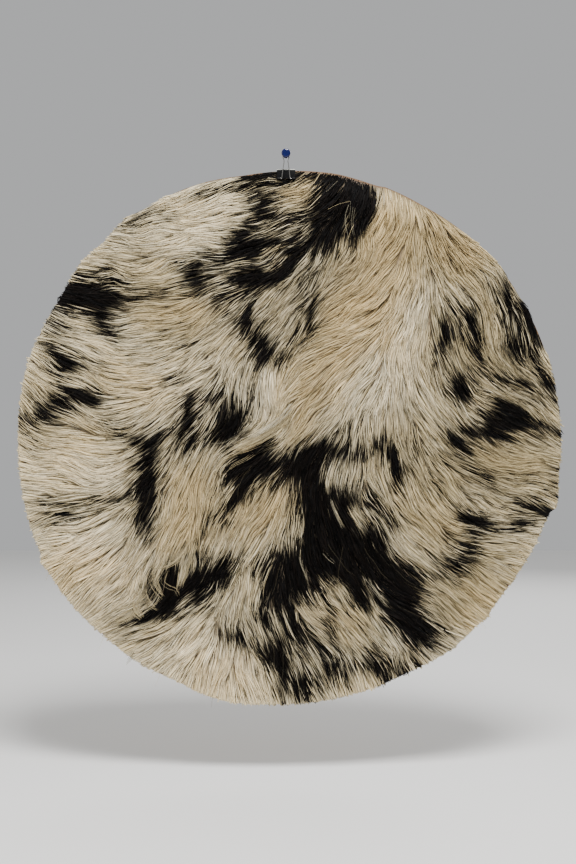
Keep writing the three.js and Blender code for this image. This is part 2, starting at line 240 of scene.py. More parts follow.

# %% [markdown]
# Hair on a skin grows in whorls and partings, and its direction is what the eye reads first. Here
# it is combed: each stroke is a place on the skin and the heading in which the tips point
# there, in degrees from the right. Between strokes the headings are blended by nearness, as unit
# vectors, because plain angles would average wrongly across 360.

# %% Comb strokes
Stroke = namedtuple("Stroke", "x z heading")
COMB = [Stroke(*row) for row in (
    # upper left
    (-150, 235, 215), (-140, 225, 188), (-120, 222, 180), (-100, 205, 180), (-100, 240, 207),
    (-80, 245, 208), (-80, 215, 185), (-60, 235, 192), (-80, 185, 180), (-180, 205, 180),
    (-180, 195, 165), (-220, 150, 165), (-250, 90, 145), (-210, 85, 160), (-150, 85, 175),
    (-120, 90, 193), (-150, 150, 180), (-120, 150, 188), (-200, 120, 165), (-150, 120, 182),
    # top
    (-40, 240, 183), (-20, 250, 188), (0, 250, 203), (10, 235, 210), (-40, 205, 190), (0, 205, 207),
    (0, 185, 220), (-40, 170, 192), (-20, 150, 228), (-60, 150, 202), (-60, 130, 217),
    (-80, 110, 222), (-40, 125, 243), (-20, 130, 238), (0, 130, 248), (15, 110, 262),
    (-10, 100, 255), (-30, 100, 245), (30, 170, 238), (50, 180, 235), (40, 200, 240),
    (60, 200, 248), (60, 230, 235), (40, 240, 226), (80, 240, 255), (80, 262, 262), (30, 262, 225),
    (102, 252, 285), (-5, 266, 190), (-40, 264, 186),
    # upper right
    (90, 228, 226), (100, 200, 232), (118, 225, 245), (130, 200, 250), (150, 200, 268),
    (160, 180, 283), (170, 200, 308), (190, 190, 320), (200, 170, 325), (180, 160, 310),
    (180, 140, 305), (200, 150, 302), (205, 120, 278), (150, 150, 266), (120, 150, 245),
    (100, 150, 228), (60, 160, 212), (70, 130, 206), (50, 110, 205), (80, 110, 212),
    (100, 120, 220), (30, 100, 212), (190, 120, 295), (165, 110, 282), (175, 100, 292),
    (210, 100, 278), (230, 120, 280), (225, 150, 285), (240, 100, 290), (250, 110, 290),
    (130, 245, 300), (112, 246, 262), (150, 230, 318), (180, 207, 322),
    # middle
    (20, 80, 212), (60, 80, 218), (80, 60, 230), (20, 60, 222), (10, 40, 235), (40, 30, 227),
    (60, 20, 234), (80, 30, 250), (0, 20, 250), (-10, 40, 265), (-20, 50, 268), (-30, 30, 268),
    (-50, 50, 257), (-60, 60, 248), (-80, 70, 228), (-90, 50, 225), (-80, 30, 238), (-60, 20, 258),
    (-50, 30, 275), (-70, 0, 250), (-90, 0, 243), (-20, 5, 225), (-40, -5, 212), (-58, -15, 205),
    (-50, -20, 205), (20, -10, 228), (40, -10, 243), (60, -10, 253), (80, -10, 263),
    (100, -10, 270), (40, -30, 255), (60, -45, 268), (90, -50, 280), (50, -80, 292), (80, -90, 302),
    (95, -70, 308), (0, -60, 238), (-20, -60, 233), (-40, -60, 228), (-60, -60, 232),
    (-80, -70, 240), (-90, -50, 252), (0, -90, 250), (10, -90, 265), (-20, -90, 243),
    (-40, -90, 238), (-60, -90, 245), (25, -60, 268), (25, -95, 276),
    # left
    (-250, 60, 145), (-270, 30, 135), (-240, 0, 163), (-220, 5, 162), (-200, -30, 180),
    (-240, -30, 170), (-270, -20, 150), (-260, -60, 177), (-230, -80, 180), (-180, -40, 205),
    (-170, -70, 212), (-150, 20, 210), (-130, 30, 215), (-160, 50, 185), (-185, 65, 150),
    (-205, 68, 135), (-110, 70, 205), (-100, 40, 220), (-110, 10, 233), (-100, -20, 240),
    (-140, -60, 243), (-120, -70, 256), (-150, -90, 245), (-100, -60, 262), (-190, 30, 172),
    (-220, 40, 158),
    # lower left
    (-240, -110, 195), (-200, -140, 210), (-200, -170, 215), (-180, -190, 217), (-160, -110, 230),
    (-120, -100, 260), (-118, -128, 240), (-140, -134, 215), (-140, -200, 195), (-150, -215, 210),
    (-165, -190, 200), (-100, -215, 225), (-80, -220, 250), (-150, -165, 228), (-110, -185, 215),
    (-220, -120, 203), (-190, -100, 212), (-95, -115, 262), (-148, -128, 262), (-146, -150, 272),
    (-134, -150, 268),
    # bottom
    (-80, -110, 240), (-40, -110, 240), (-20, -120, 250), (-5, -110, 260), (10, -110, 278),
    (15, -130, 290), (-60, -150, 248), (-40, -150, 262), (-30, -170, 270), (-60, -180, 262),
    (-80, -150, 235), (-90, -170, 226), (-50, -200, 284), (-70, -210, 268), (-20, -190, 298),
    (-20, -230, 293), (-50, -250, 296), (-80, -240, 265), (20, -180, 310), (10, -215, 305),
    (30, -200, 310), (30, -240, 300), (10, -260, 282), (50, -170, 315), (50, -220, 300),
    (70, -200, 307), (90, -200, 305), (90, -160, 312), (90, -240, 300), (70, -250, 292),
    # lower right
    (110, -100, 285), (110, -130, 302), (130, -120, 312), (150, -110, 328), (150, -95, 342),
    (130, -90, 318), (170, -120, 330), (190, -110, 338), (180, -135, 335), (150, -150, 325),
    (170, -160, 325), (200, -150, 327), (200, -120, 345), (220, -110, 358), (240, -120, 338),
    (230, -140, 325), (180, -180, 330), (150, -190, 325), (160, -210, 325), (140, -220, 320),
    (120, -200, 310), (110, -220, 305), (100, -230, 300), (130, -180, 320),
    # right
    (110, 60, 263), (130, 60, 278), (150, 60, 295), (140, 30, 298), (160, 30, 308), (180, 30, 320),
    (200, 45, 325), (220, 50, 325), (180, 60, 305), (190, 80, 300), (170, 80, 290), (220, 75, 298),
    (240, 75, 302), (250, 60, 315), (260, 50, 322), (240, 35, 320), (260, 30, 322), (270, 20, 325),
    (220, 20, 325), (240, 10, 330), (200, 0, 325), (180, 0, 320), (160, 0, 318), (140, 0, 310),
    (120, 0, 285), (130, -30, 300), (160, -20, 315), (180, -20, 323), (200, -20, 330),
    (230, -15, 338), (260, -15, 345), (220, -30, 352), (250, -30, 0), (260, -45, 355),
    (180, -50, 322), (200, -50, 330), (150, -50, 307), (170, -60, 318), (130, -60, 297),
    (160, -80, 317), (140, -80, 310), (200, -70, 330), (220, -75, 345), (240, -80, 352),
    (180, -85, 337), (250, -70, 345), (255, -95, 350), (110, 20, 264), (110, 100, 244),
    (135, 100, 268),
)]
COMB_SOFTNESS = 14.0  # millimetres over which neighbouring strokes blend
COMB_FALL = 1.9  # how soon a nearer stroke outweighs a farther one


def heading_grids():
    east, north = (np.zeros(GRID_X.shape) for _ in range(2))
    for stroke in COMB:
        apart = (GRID_X - stroke.x) ** 2 + (GRID_Z - stroke.z) ** 2
        nearness = 1 / (COMB_SOFTNESS**2 + apart) ** COMB_FALL
        east += nearness * math.cos(math.radians(stroke.heading))
        north += nearness * math.sin(math.radians(stroke.heading))
    length = np.hypot(east, north)
    return np.stack([east / length, north / length], axis=-1)


FLOW_GRID = heading_grids()


def flow(x, z):
    """Unit direction of the hair at any points."""
    way = read_grid(FLOW_GRID, x, z)
    return way / np.maximum(np.linalg.norm(way, axis=-1, keepdims=True), 1e-6)


print(len(COMB), "comb strokes")

# %% [markdown]
# The black spots are laid on like brush strokes: each has the share of its hairs that are
# black, and then one place or more, as x, z and the brush's half width there. Strokes that overlap
# make the bigger shapes. A second table widens the edges and gives the places where black and pale
# hair grow side by side. Smaller ones tell where the pale hair is tan or grey, and where light and
# shade are painted into it as brighter or duller hair. Nothing is a picture on a surface: a strand asks
# these tables at each of its own points, so the edges break up along the hair as they do on the real coat.

# %% Black strokes
Daub = namedtuple("Daub", "share spots")


def daub(share, *spots):
    return Daub(share, spots if len(spots) > 1 else spots * 2)


BLACK = [
    # upper left
    daub(1, (-238, 146, 8), (-215, 148, 13), (-195, 143, 14), (-180, 143, 8)),
    daub(1, (-200, 132, 10), (-188, 127, 6)), daub(0.9, (-197, 121, 6), (-190, 113, 5), (-183, 106, 3)),
    daub(0.6, (-222, 166, 3), (-200, 165, 5), (-182, 161, 4), (-168, 155, 4)),
    daub(0.5, (-174, 145, 6), (-160, 143, 4), (-148, 142, 3)),
    daub(0.45, (-160, 150, 4), (-140, 149, 4), (-120, 147, 4)), daub(0.8, (-244, 133, 4), (-230, 130, 5)),
    daub(0.55, (-240, 116, 5), (-230, 109, 4)), daub(0.3, (-135, 104, 4), (-115, 101, 4)),
    daub(1, (-97, 178, 7), (-100, 168, 11), (-96, 157, 9)), daub(0.8, (-91, 155, 6), (-86, 149, 5)),
    daub(0.85, (-90, 187, 5), (-80, 186, 5)), daub(0.6, (-72, 184, 4), (-58, 184, 4)),
    daub(0.5, (-84, 158, 3), (-70, 157, 3)), daub(0.6, (-72, 178, 4), (-63, 173, 4)),
    # top
    daub(1, (-52, 268, 4), (-36, 269, 6), (-22, 273, 5)), daub(0.55, (-42, 262, 5), (-28, 262, 4)),
    daub(0.75, (-18, 258, 4), (-14, 251, 4)), daub(0.65, (-62, 262, 4), (-48, 258, 6)),
    # The first stroke on the next line, under the clip's lips, is partly black hair and partly the clip's
    # shadow, painted as black hair.
    daub(1, (-14, 268, 5), (-6, 264, 6), (2, 266, 5)), daub(0.8, (10, 274, 2), (28, 276, 3)),
    daub(0.95, (-37, 250, 6), (-25, 245, 8)), daub(1, (-34, 236, 8), (-26, 231, 9), (-17, 229, 5)),
    daub(1, (-42, 221, 6), (-46, 211, 10), (-52, 200, 13), (-46, 189, 10), (-38, 182, 6)),
    daub(0.75, (-66, 198, 7), (-66, 190, 7)),
    daub(1, (-46, 204, 8), (-34, 201, 7), (-22, 200, 5), (-12, 204, 4)),
    daub(0.8, (-40, 218, 4), (-30, 216, 4)), daub(0.62, (-22, 211, 5), (-2, 213, 4)),
    daub(0.6, (14, 224, 6), (24, 230, 6)), daub(1, (-8, 191, 4), (4, 191, 4), (16, 196, 4), (27, 205, 7)),
    daub(1, (8, 190, 5), (3, 183, 6), (-2, 174, 7), (-11, 165, 7), (-25, 160, 8)),
    daub(1, (-25, 163, 9), (-40, 166, 13), (-52, 163, 9), (-62, 160, 5)),
    daub(0.9, (-42, 153, 5), (-35, 158, 5)), daub(1, (-42, 176, 5)),
    daub(1, (36, 266, 9), (50, 262, 13), (68, 256, 14), (79, 250, 12)),
    daub(1, (43, 248, 12), (60, 240, 20), (72, 230, 12)), daub(1, (34, 232, 11), (36, 218, 15), (36, 205, 9)),
    daub(1, (54, 214, 10), (62, 208, 7)), daub(0.95, (76, 222, 9), (69, 210, 6), (66, 203, 5)),
    daub(0.95, (27, 192, 6), (23, 183, 4)), daub(0.6, (47, 194, 4), (49, 185, 3)),
    daub(0.7, (32, 196, 5), (38, 192, 4)), daub(0.75, (13, 165, 3), (11, 155, 4), (15, 147, 4)),
    daub(0.7, (17, 145, 4), (15, 132, 3)), daub(1, (25, 142, 3.5), (22, 132, 4), (21, 122, 3.5)),
    daub(0.95, (22, 115, 5), (20, 106, 4)), daub(0.35, (8, 140, 3), (6, 120, 3)),
    daub(0.7, (8, 103, 5), (8, 92, 5)),
    daub(1, (-43, 136, 4), (-44, 123, 7), (-45, 112, 6), (-39, 104, 8), (-31, 96, 12)),
    daub(1, (-31, 96, 12), (-28, 88, 10), (-31, 79, 8), (-34, 73, 4)), daub(0.8, (-14, 84, 7), (-9, 76, 6)),
    daub(0.6, (0, 72, 3), (-4, 84, 4)), daub(0.3, (-66, 143, 3), (-58, 132, 3)),
    # upper right
    daub(1, (226, 156, 4), (224, 146, 4)), daub(0.6, (215, 152, 2), (214, 145, 2)),
    daub(1, (240, 140, 5), (250, 124, 7), (257, 108, 8), (260, 97, 6)),
    daub(0.7, (236, 134, 6), (240, 120, 8), (248, 108, 10), (246, 96, 10), (250, 88, 8)),
    daub(0.5, (231, 120, 4), (229, 110, 3)), daub(0.95, (231, 98, 6), (234, 90, 7), (238, 84, 5)),
    daub(0.7, (226, 140, 5), (225, 118, 6)), daub(0.8, (193, 132, 5), (188, 124, 7), (188, 115, 7)),
    daub(0.85, (188, 115, 6), (194, 108, 5), (190, 100, 4), (197, 95, 4)),
    daub(0.5, (180, 130, 4), (176, 115, 4)), daub(0.7, (180, 103, 4), (186, 95, 4)),
    daub(1, (159, 118, 4), (163, 110, 6), (163, 102, 7), (158, 95, 5)),
    daub(0.6, (170, 108, 4), (172, 102, 4)), daub(0.5, (165, 124, 3), (160, 122, 3)),
    daub(0.8, (155, 92, 4), (153, 84, 5)), daub(0.5, (153, 78, 4)),
    # right
    daub(0.7, (190, 92, 3), (195, 84, 5), (198, 78, 4), (203, 73, 2)),
    daub(0.8, (212, 63, 3), (222, 57, 3), (240, 51, 3)), daub(0.6, (203, 70, 3), (196, 64, 5), (190, 70, 4)),
    daub(0.6, (205, 60, 3), (210, 57, 3)), daub(0.5, (183, 64, 4), (190, 60, 4)),
    daub(1, (174, 58, 6), (175, 51, 10), (181, 43, 9), (184, 38, 5)), daub(0.6, (165, 50, 3), (160, 56, 3)),
    daub(0.5, (190, 36, 3), (184, 36, 4)), daub(0.5, (233, 86, 4), (240, 76, 3), (246, 62, 4), (248, 54, 3)),
    daub(0.95, (248, 52, 3), (240, 57, 3)), daub(0.7, (250, 92, 6), (256, 78, 5), (262, 64, 5), (270, 54, 5)),
    daub(1, (264, 54, 5), (272, 50, 5), (279, 50, 3)), daub(0.6, (268, 40, 3), (276, 32, 3)),
    daub(0.5, (237, 60, 3), (232, 56, 3)), daub(1, (213, 34, 5), (222, 30, 8), (232, 26, 8), (242, 20, 6)),
    daub(1, (206, 22, 6), (215, 16, 9), (230, 14, 10), (243, 12, 6)), daub(1, (204, 12, 4), (212, 8, 5)),
    daub(0.85, (252, 15, 3), (262, 10, 4), (272, 6, 4), (280, 1, 3)), daub(0.6, (248, 6, 3), (262, 1, 3)),
    daub(1, (178, 6, 4), (190, 5, 6), (203, 3, 7), (215, 0, 5), (228, -2, 3)),
    daub(1, (166, 2, 4), (174, -4, 8), (180, -11, 7), (184, -17, 4)),
    daub(0.6, (168, -18, 4), (178, -27, 6), (190, -33, 4)), daub(0.6, (190, -8, 4), (200, -12, 3)),
    daub(0.5, (205, -46, 5), (215, -50, 3)), daub(0.35, (145, -42, 6), (158, -48, 5)),
    daub(0.3, (165, -25, 5), (160, -15, 4)), daub(0.6, (272, -28, 5), (276, -35, 4)),
    # The first stroke on the next line, along the right rim, is painted shade: the rim's shadow, given as a
    # share of black hairs.
    daub(0.5, (274, -50, 4), (276, -60, 4)), daub(1, (247, -71, 4), (258, -77, 6), (270, -79, 5)),
    daub(0.6, (232, -64, 3), (243, -68, 4)), daub(0.7, (240, -80, 3), (252, -82, 3)),
    # The strokes on this and the next line are partly a black streak and partly painted shadow under the lip
    # of the coat there.
    daub(0.55, (208, -91, 3), (225, -92, 3)), daub(0.9, (232, -90, 4), (250, -88, 4)),
    daub(0.7, (222, -96, 3), (240, -96, 3)),
    daub(1, (178, -83, 5), (188, -86, 6), (200, -88, 6), (206, -92, 4)),
    daub(0.9, (186, -98, 4), (198, -100, 5)), daub(0.7, (192, -104, 5), (188, -112, 7), (182, -122, 6)),
    daub(0.85, (182, -120, 7), (176, -128, 6)), daub(0.5, (175, -112, 5), (165, -105, 4)),
    daub(0.9, (163, -134, 4), (173, -136, 4), (182, -138, 3)), daub(0.5, (160, -142, 5), (175, -148, 5)),
    daub(0.6, (168, -128, 3), (156, -130, 2)),
    # left
    daub(1, (-250, 96, 3), (-244, 86, 4), (-238, 79, 6), (-230, 74, 6), (-221, 72, 4)),
    daub(0.9, (-240, 74, 6), (-232, 68, 5)), daub(0.6, (-225, 84, 4), (-212, 82, 3)),
    daub(0.5, (-222, 70, 4), (-210, 72, 3)), daub(0.6, (-205, 78, 3), (-196, 74, 3)),
    daub(0.5, (-195, 70, 2), (-190, 60, 2)),
    daub(1, (-236, 50, 4), (-227, 45, 7), (-214, 41, 8), (-205, 38, 7), (-196, 35, 4)),
    daub(0.9, (-240, 38, 8), (-230, 36, 6)), daub(0.7, (-198, 45, 4), (-192, 40, 3)),
    daub(0.5, (-246, 54, 3), (-238, 56, 3)), daub(1, (-257, 30, 6), (-254, 24, 7), (-246, 21, 4)),
    daub(0.8, (-268, 16, 5), (-262, 12, 4)), daub(0.5, (-274, 22, 3), (-270, 5, 3)),
    daub(0.6, (-240, 26, 3), (-230, 25, 2)), daub(0.4, (-185, 48, 2), (-178, 45, 2)),
    daub(0.5, (-178, 4, 4), (-168, 3, 4)), daub(0.3, (-170, 12, 4)),
    daub(1, (-163, -3, 6), (-153, -8, 7), (-146, -14, 9), (-147, -26, 10), (-148, -38, 10)),
    daub(1, (-148, -38, 11), (-149, -50, 11), (-150, -62, 10), (-150, -74, 8)),
    daub(1, (-140, -4, 5), (-132, 1, 3)), daub(0.4, (-160, -64, 4), (-166, -66, 3)),
    daub(0.9, (-152, -80, 8), (-153, -88, 8), (-148, -96, 5)), daub(0.5, (-160, -92, 5), (-150, -104, 7)),
    daub(0.5, (-139, -30, 4), (-136, -38, 3)), daub(0.5, (-140, -70, 4), (-142, -80, 5)),
    daub(0.6, (-158, -20, 4), (-162, -30, 3)),
    daub(0.95, (-104, 40, 6), (-106, 28, 7), (-105, 18, 7), (-107, 8, 7)),
    daub(0.8, (-107, 8, 7), (-113, 3, 6), (-120, 2, 3)),
    daub(0.9, (-100, 5, 6), (-103, -8, 6), (-108, -14, 4)), daub(0.6, (-118, 8, 4), (-128, 2, 3)),
    daub(0.5, (-110, 40, 5), (-100, 45, 5)),
    daub(0.35, (-92, 30, 6), (-95, 18, 6), (-90, 5, 5), (-90, -8, 4)),
    daub(0.5, (-116, -8, 4), (-112, -18, 3)), daub(0.35, (-125, 58, 4), (-112, 60, 4)),
    daub(0.3, (-180, 88, 4), (-165, 86, 5)), daub(0.45, (-250, -66, 5), (-235, -69, 5), (-222, -70, 3)),
    daub(0.35, (-212, -62, 4), (-200, -65, 3)), daub(0.8, (-248, -80, 3), (-236, -82, 4), (-222, -80, 3)),
    daub(0.55, (-250, -92, 4), (-240, -91, 5), (-232, -89, 3)), daub(0.3, (-255, -101, 3), (-245, -101, 2)),
    # middle
    daub(0.62, (-98, 40, 6), (-86, 42, 6), (-75, 46, 6), (-71, 52, 4)),
    daub(1, (-66, 29, 6), (-65, 21, 10), (-65, 12, 13), (-69, 3, 10), (-78, -1, 7)),
    daub(1, (-56, 18, 7), (-52, 8, 6), (-50, 2, 4)), daub(0.8, (-55, 32, 5), (-50, 24, 5)),
    daub(0.8, (-80, -6, 6), (-72, -9, 5)), daub(0.85, (-83, 2, 4), (-86, 8, 3)),
    daub(0.95, (-40, 54, 2.5), (-39, 46, 3), (-40, 40, 3)), daub(0.4, (-44, 64, 2), (-42, 58, 2)),
    daub(0.5, (-41, 32, 2), (-42, 20, 2)), daub(0.7, (-50, 8, 4), (-56, 0, 4)),
    daub(0.9, (-22, -6, 3), (-30, -12, 4), (-40, -18, 6)),
    daub(1, (-28, -20, 8), (-42, -25, 11), (-54, -29, 10), (-60, -37, 8)),
    daub(1, (-22, -22, 7), (-18, -30, 8), (-28, -36, 9)),
    daub(1, (-42, -38, 10), (-50, -48, 10), (-50, -57, 8), (-56, -63, 6)),
    daub(0.95, (-60, -44, 5), (-68, -48, 4), (-74, -54, 3)), daub(1, (-56, -66, 5), (-63, -72, 4)),
    daub(0.6, (-63, -26, 4), (-61, -36, 4)), daub(0.6, (-72, -11, 5), (-66, -19, 4)),
    daub(1, (-12, -28, 6), (-4, -27, 8), (8, -24, 8), (20, -18, 9), (32, -12, 8), (38, -6, 4)),
    daub(1, (-6, -38, 6), (5, -38, 8), (20, -32, 12), (28, -24, 8)), daub(0.8, (-6, -48, 5), (2, -46, 4)),
    daub(0.9, (12, -45, 6), (20, -48, 7)), daub(1, (43, -15, 7), (53, -19, 7)),
    daub(0.85, (58, -12, 5), (62, -22, 6)), daub(0.9, (42, -27, 5)), daub(0.85, (68, -14, 5), (68, -25, 4)),
    daub(0.8, (76, -14, 5), (76, -24, 4)), daub(0.75, (84, -16, 4), (91, -17, 4)),
    daub(1, (24, -46, 11), (25, -60, 12), (25, -72, 12), (28, -84, 13), (30, -98, 15), (34, -110, 16)),
    daub(0.95, (12, -62, 3), (10, -72, 3)), daub(0.6, (8, -80, 3), (12, -90, 3)),
    daub(1, (40, -62, 8), (48, -72, 8), (50, -84, 9), (50, -96, 12), (56, -108, 14)),
    daub(1, (54, -65, 7), (66, -64, 6), (58, -74, 6)), daub(0.9, (69, -60, 4), (74, -68, 5)),
    daub(0.65, (84, -84, 4), (92, -92, 5)), daub(0.8, (60, -88, 4), (66, -96, 5)),
    daub(0.9, (60, -86, 4), (66, -96, 5)), daub(0.8, (72, -100, 6), (84, -106, 8)),
    daub(0.95, (98, 2, 2), (97, -6, 3)), daub(0.9, (90, -4, 3), (92, -13, 6)),
    daub(0.95, (105, -7, 3), (107, -18, 5), (109, -28, 6), (113, -38, 6)),
    daub(0.85, (110, -46, 5), (112, -56, 5)), daub(0.5, (118, -40, 4), (124, -50, 3)),
    daub(0.35, (130, -10, 3), (138, -22, 3)), daub(0.4, (82, 25, 2), (84, 32, 2)),
    daub(0.75, (89, -64, 4), (99, -78, 7), (107, -90, 6)), daub(0.7, (90, -92, 5), (100, -102, 5)),
    daub(0.9, (-78, -82, 3), (-83, -89, 3), (-90, -98, 2)),
    daub(0.9, (-71, -82, 2), (-68, -88, 3), (-62, -92, 2)), daub(0.5, (-88, -103, 1.5), (-89, -112, 1.5)),
    # bottom
    daub(1, (34, -112, 16), (30, -122, 14), (14, -128, 11), (0, -132, 13), (-8, -142, 14)),
    daub(1, (-8, -142, 14), (-12, -155, 14), (-12, -166, 12), (-6, -172, 8)),
    daub(1, (14, -142, 12), (22, -138, 14), (14, -154, 10)),
    daub(1, (46, -118, 16), (64, -118, 16), (80, -124, 14), (92, -128, 10)),
    daub(1, (50, -136, 10), (66, -136, 12), (82, -140, 12), (98, -144, 14)),
    daub(0.8, (-23, -125, 3), (-26, -138, 4), (-26, -150, 3)), daub(0.7, (-2, -112, 4), (2, -118, 6)),
    daub(0.8, (12, -112, 6), (20, -108, 8)), daub(1, (70, -156, 8), (74, -166, 8), (77, -175, 7)),
    daub(0.7, (88, -163, 6), (95, -172, 5), (101, -182, 4)),
    daub(1, (100, -140, 12), (116, -150, 14), (126, -160, 13), (124, -172, 12), (118, -184, 14)),
    daub(1, (118, -184, 14), (128, -195, 14), (138, -203, 12)),
    daub(1, (106, -162, 10), (106, -176, 8), (112, -190, 8)),
    daub(0.8, (118, -205, 6), (126, -213, 6), (130, -224, 5)), daub(0.7, (128, -232, 5), (134, -236, 4)),
    daub(0.35, (142, -214, 4), (148, -222, 3)), daub(0.45, (104, -120, 6), (112, -130, 6), (122, -138, 5)),
    daub(0.6, (147, -205, 5), (155, -212, 4)), daub(0.6, (150, -196, 4), (165, -204, 4)),
    daub(0.4, (140, -150, 5), (150, -158, 5)),
    daub(0.95, (84, -228, 5), (80, -236, 6), (90, -240, 7), (98, -246, 6)),
    daub(0.6, (92, -225, 4), (104, -232, 5)), daub(0.8, (106, -238, 5), (116, -246, 4), (124, -244, 4)),
    daub(0.6, (112, -228, 4), (124, -236, 4)), daub(0.5, (92, -212, 3), (84, -218, 3)),
    daub(0.8, (100, -252, 4), (108, -252, 3)), daub(0.6, (98, -190, 4), (102, -200, 3)),
    daub(0.75, (-33, -183, 4), (-26, -190, 6), (-22, -180, 4)), daub(0.6, (-15, -186, 3), (-8, -192, 3)),
    daub(0.9, (2, -182, 3), (6, -192, 6), (10, -202, 7), (14, -208, 4)),
    daub(0.95, (-2, -200, 3), (-4, -208, 4), (-12, -216, 6), (-20, -221, 8), (-12, -228, 8)),
    daub(0.95, (-36, -177, 5), (-29, -186, 7), (-23, -195, 6)), daub(0.95, (-12, -228, 9), (-8, -236, 7)),
    daub(0.9, (-28, -222, 5), (-23, -231, 6), (-20, -240, 4)), daub(0.7, (24, -206, 4), (28, -214, 6)),
    daub(0.6, (22, -200, 3), (14, -196, 3)), daub(0.5, (40, -190, 3), (45, -202, 5)),
    daub(0.5, (42, -215, 4), (50, -228, 5)),
    daub(0.8, (38, -236, 5), (46, -244, 7), (52, -236, 6), (58, -246, 4)),
    daub(0.6, (44, -256, 5), (52, -252, 4)),
    daub(0.9, (16, -246, 5), (10, -254, 8), (20, -256, 6), (8, -266, 8)),
    daub(0.7, (-4, -246, 5), (-8, -256, 6), (-6, -266, 5)), daub(0.8, (20, -268, 5), (30, -264, 4)),
    daub(0.5, (30, -250, 4), (36, -260, 4)), daub(0.6, (44, -222, 4), (38, -228, 4)),
    daub(0.35, (15, -222, 3), (22, -236, 3)), daub(0.7, (-56, -203, 4), (-50, -208, 5), (-45, -212, 4)),
    daub(0.5, (-70, -198, 3), (-70, -208, 4)), daub(0.5, (-60, -212, 3), (-58, -220, 3)),
    daub(0.5, (-50, -195, 2), (-47, -202, 2)), daub(0.4, (-35, -225, 3), (-32, -235, 3)),
    daub(0.3, (-16, -262, 3), (-12, -270, 3)),
    # lower left
    daub(1, (-84, -138, 5), (-92, -142, 7), (-88, -148, 8), (-76, -144, 7), (-68, -138, 6)),
    daub(0.9, (-62, -128, 4), (-68, -134, 5), (-72, -130, 3)), daub(0.95, (-66, -149, 6), (-74, -156, 6)),
    daub(1, (-100, -150, 8), (-106, -156, 6), (-96, -158, 6)), daub(0.95, (-88, -161, 7), (-98, -170, 6)),
    daub(0.6, (-86, -172, 3), (-82, -178, 2)), daub(0.6, (-88, -128, 3), (-84, -122, 2)),
    daub(0.6, (-50, -132, 3), (-44, -136, 4)), daub(0.5, (-36, -132, 3), (-40, -140, 3)),
    daub(0.6, (-30, -130, 2), (-28, -136, 3)),
    daub(1, (-119, -136, 5), (-125, -144, 8), (-125, -154, 10), (-121, -164, 9), (-125, -172, 9)),
    daub(1, (-124, -172, 8), (-130, -180, 8), (-140, -183, 6)),
    daub(1, (-112, -160, 4), (-118, -168, 5), (-120, -180, 5)),
    daub(0.8, (-142, -146, 2.5), (-144, -158, 3), (-142, -170, 4)),
    daub(0.7, (-138, -158, 3), (-134, -168, 4)), daub(0.95, (-148, -187, 5), (-158, -189, 4)),
    daub(0.85, (-164, -191, 3), (-172, -193, 2.5)), daub(0.5, (-160, -184, 2.5), (-152, -180, 2.5)),
    daub(0.4, (-169, -205, 2.5), (-170, -210, 2.5)), daub(0.4, (-112, -198, 3), (-120, -205, 3)),
]
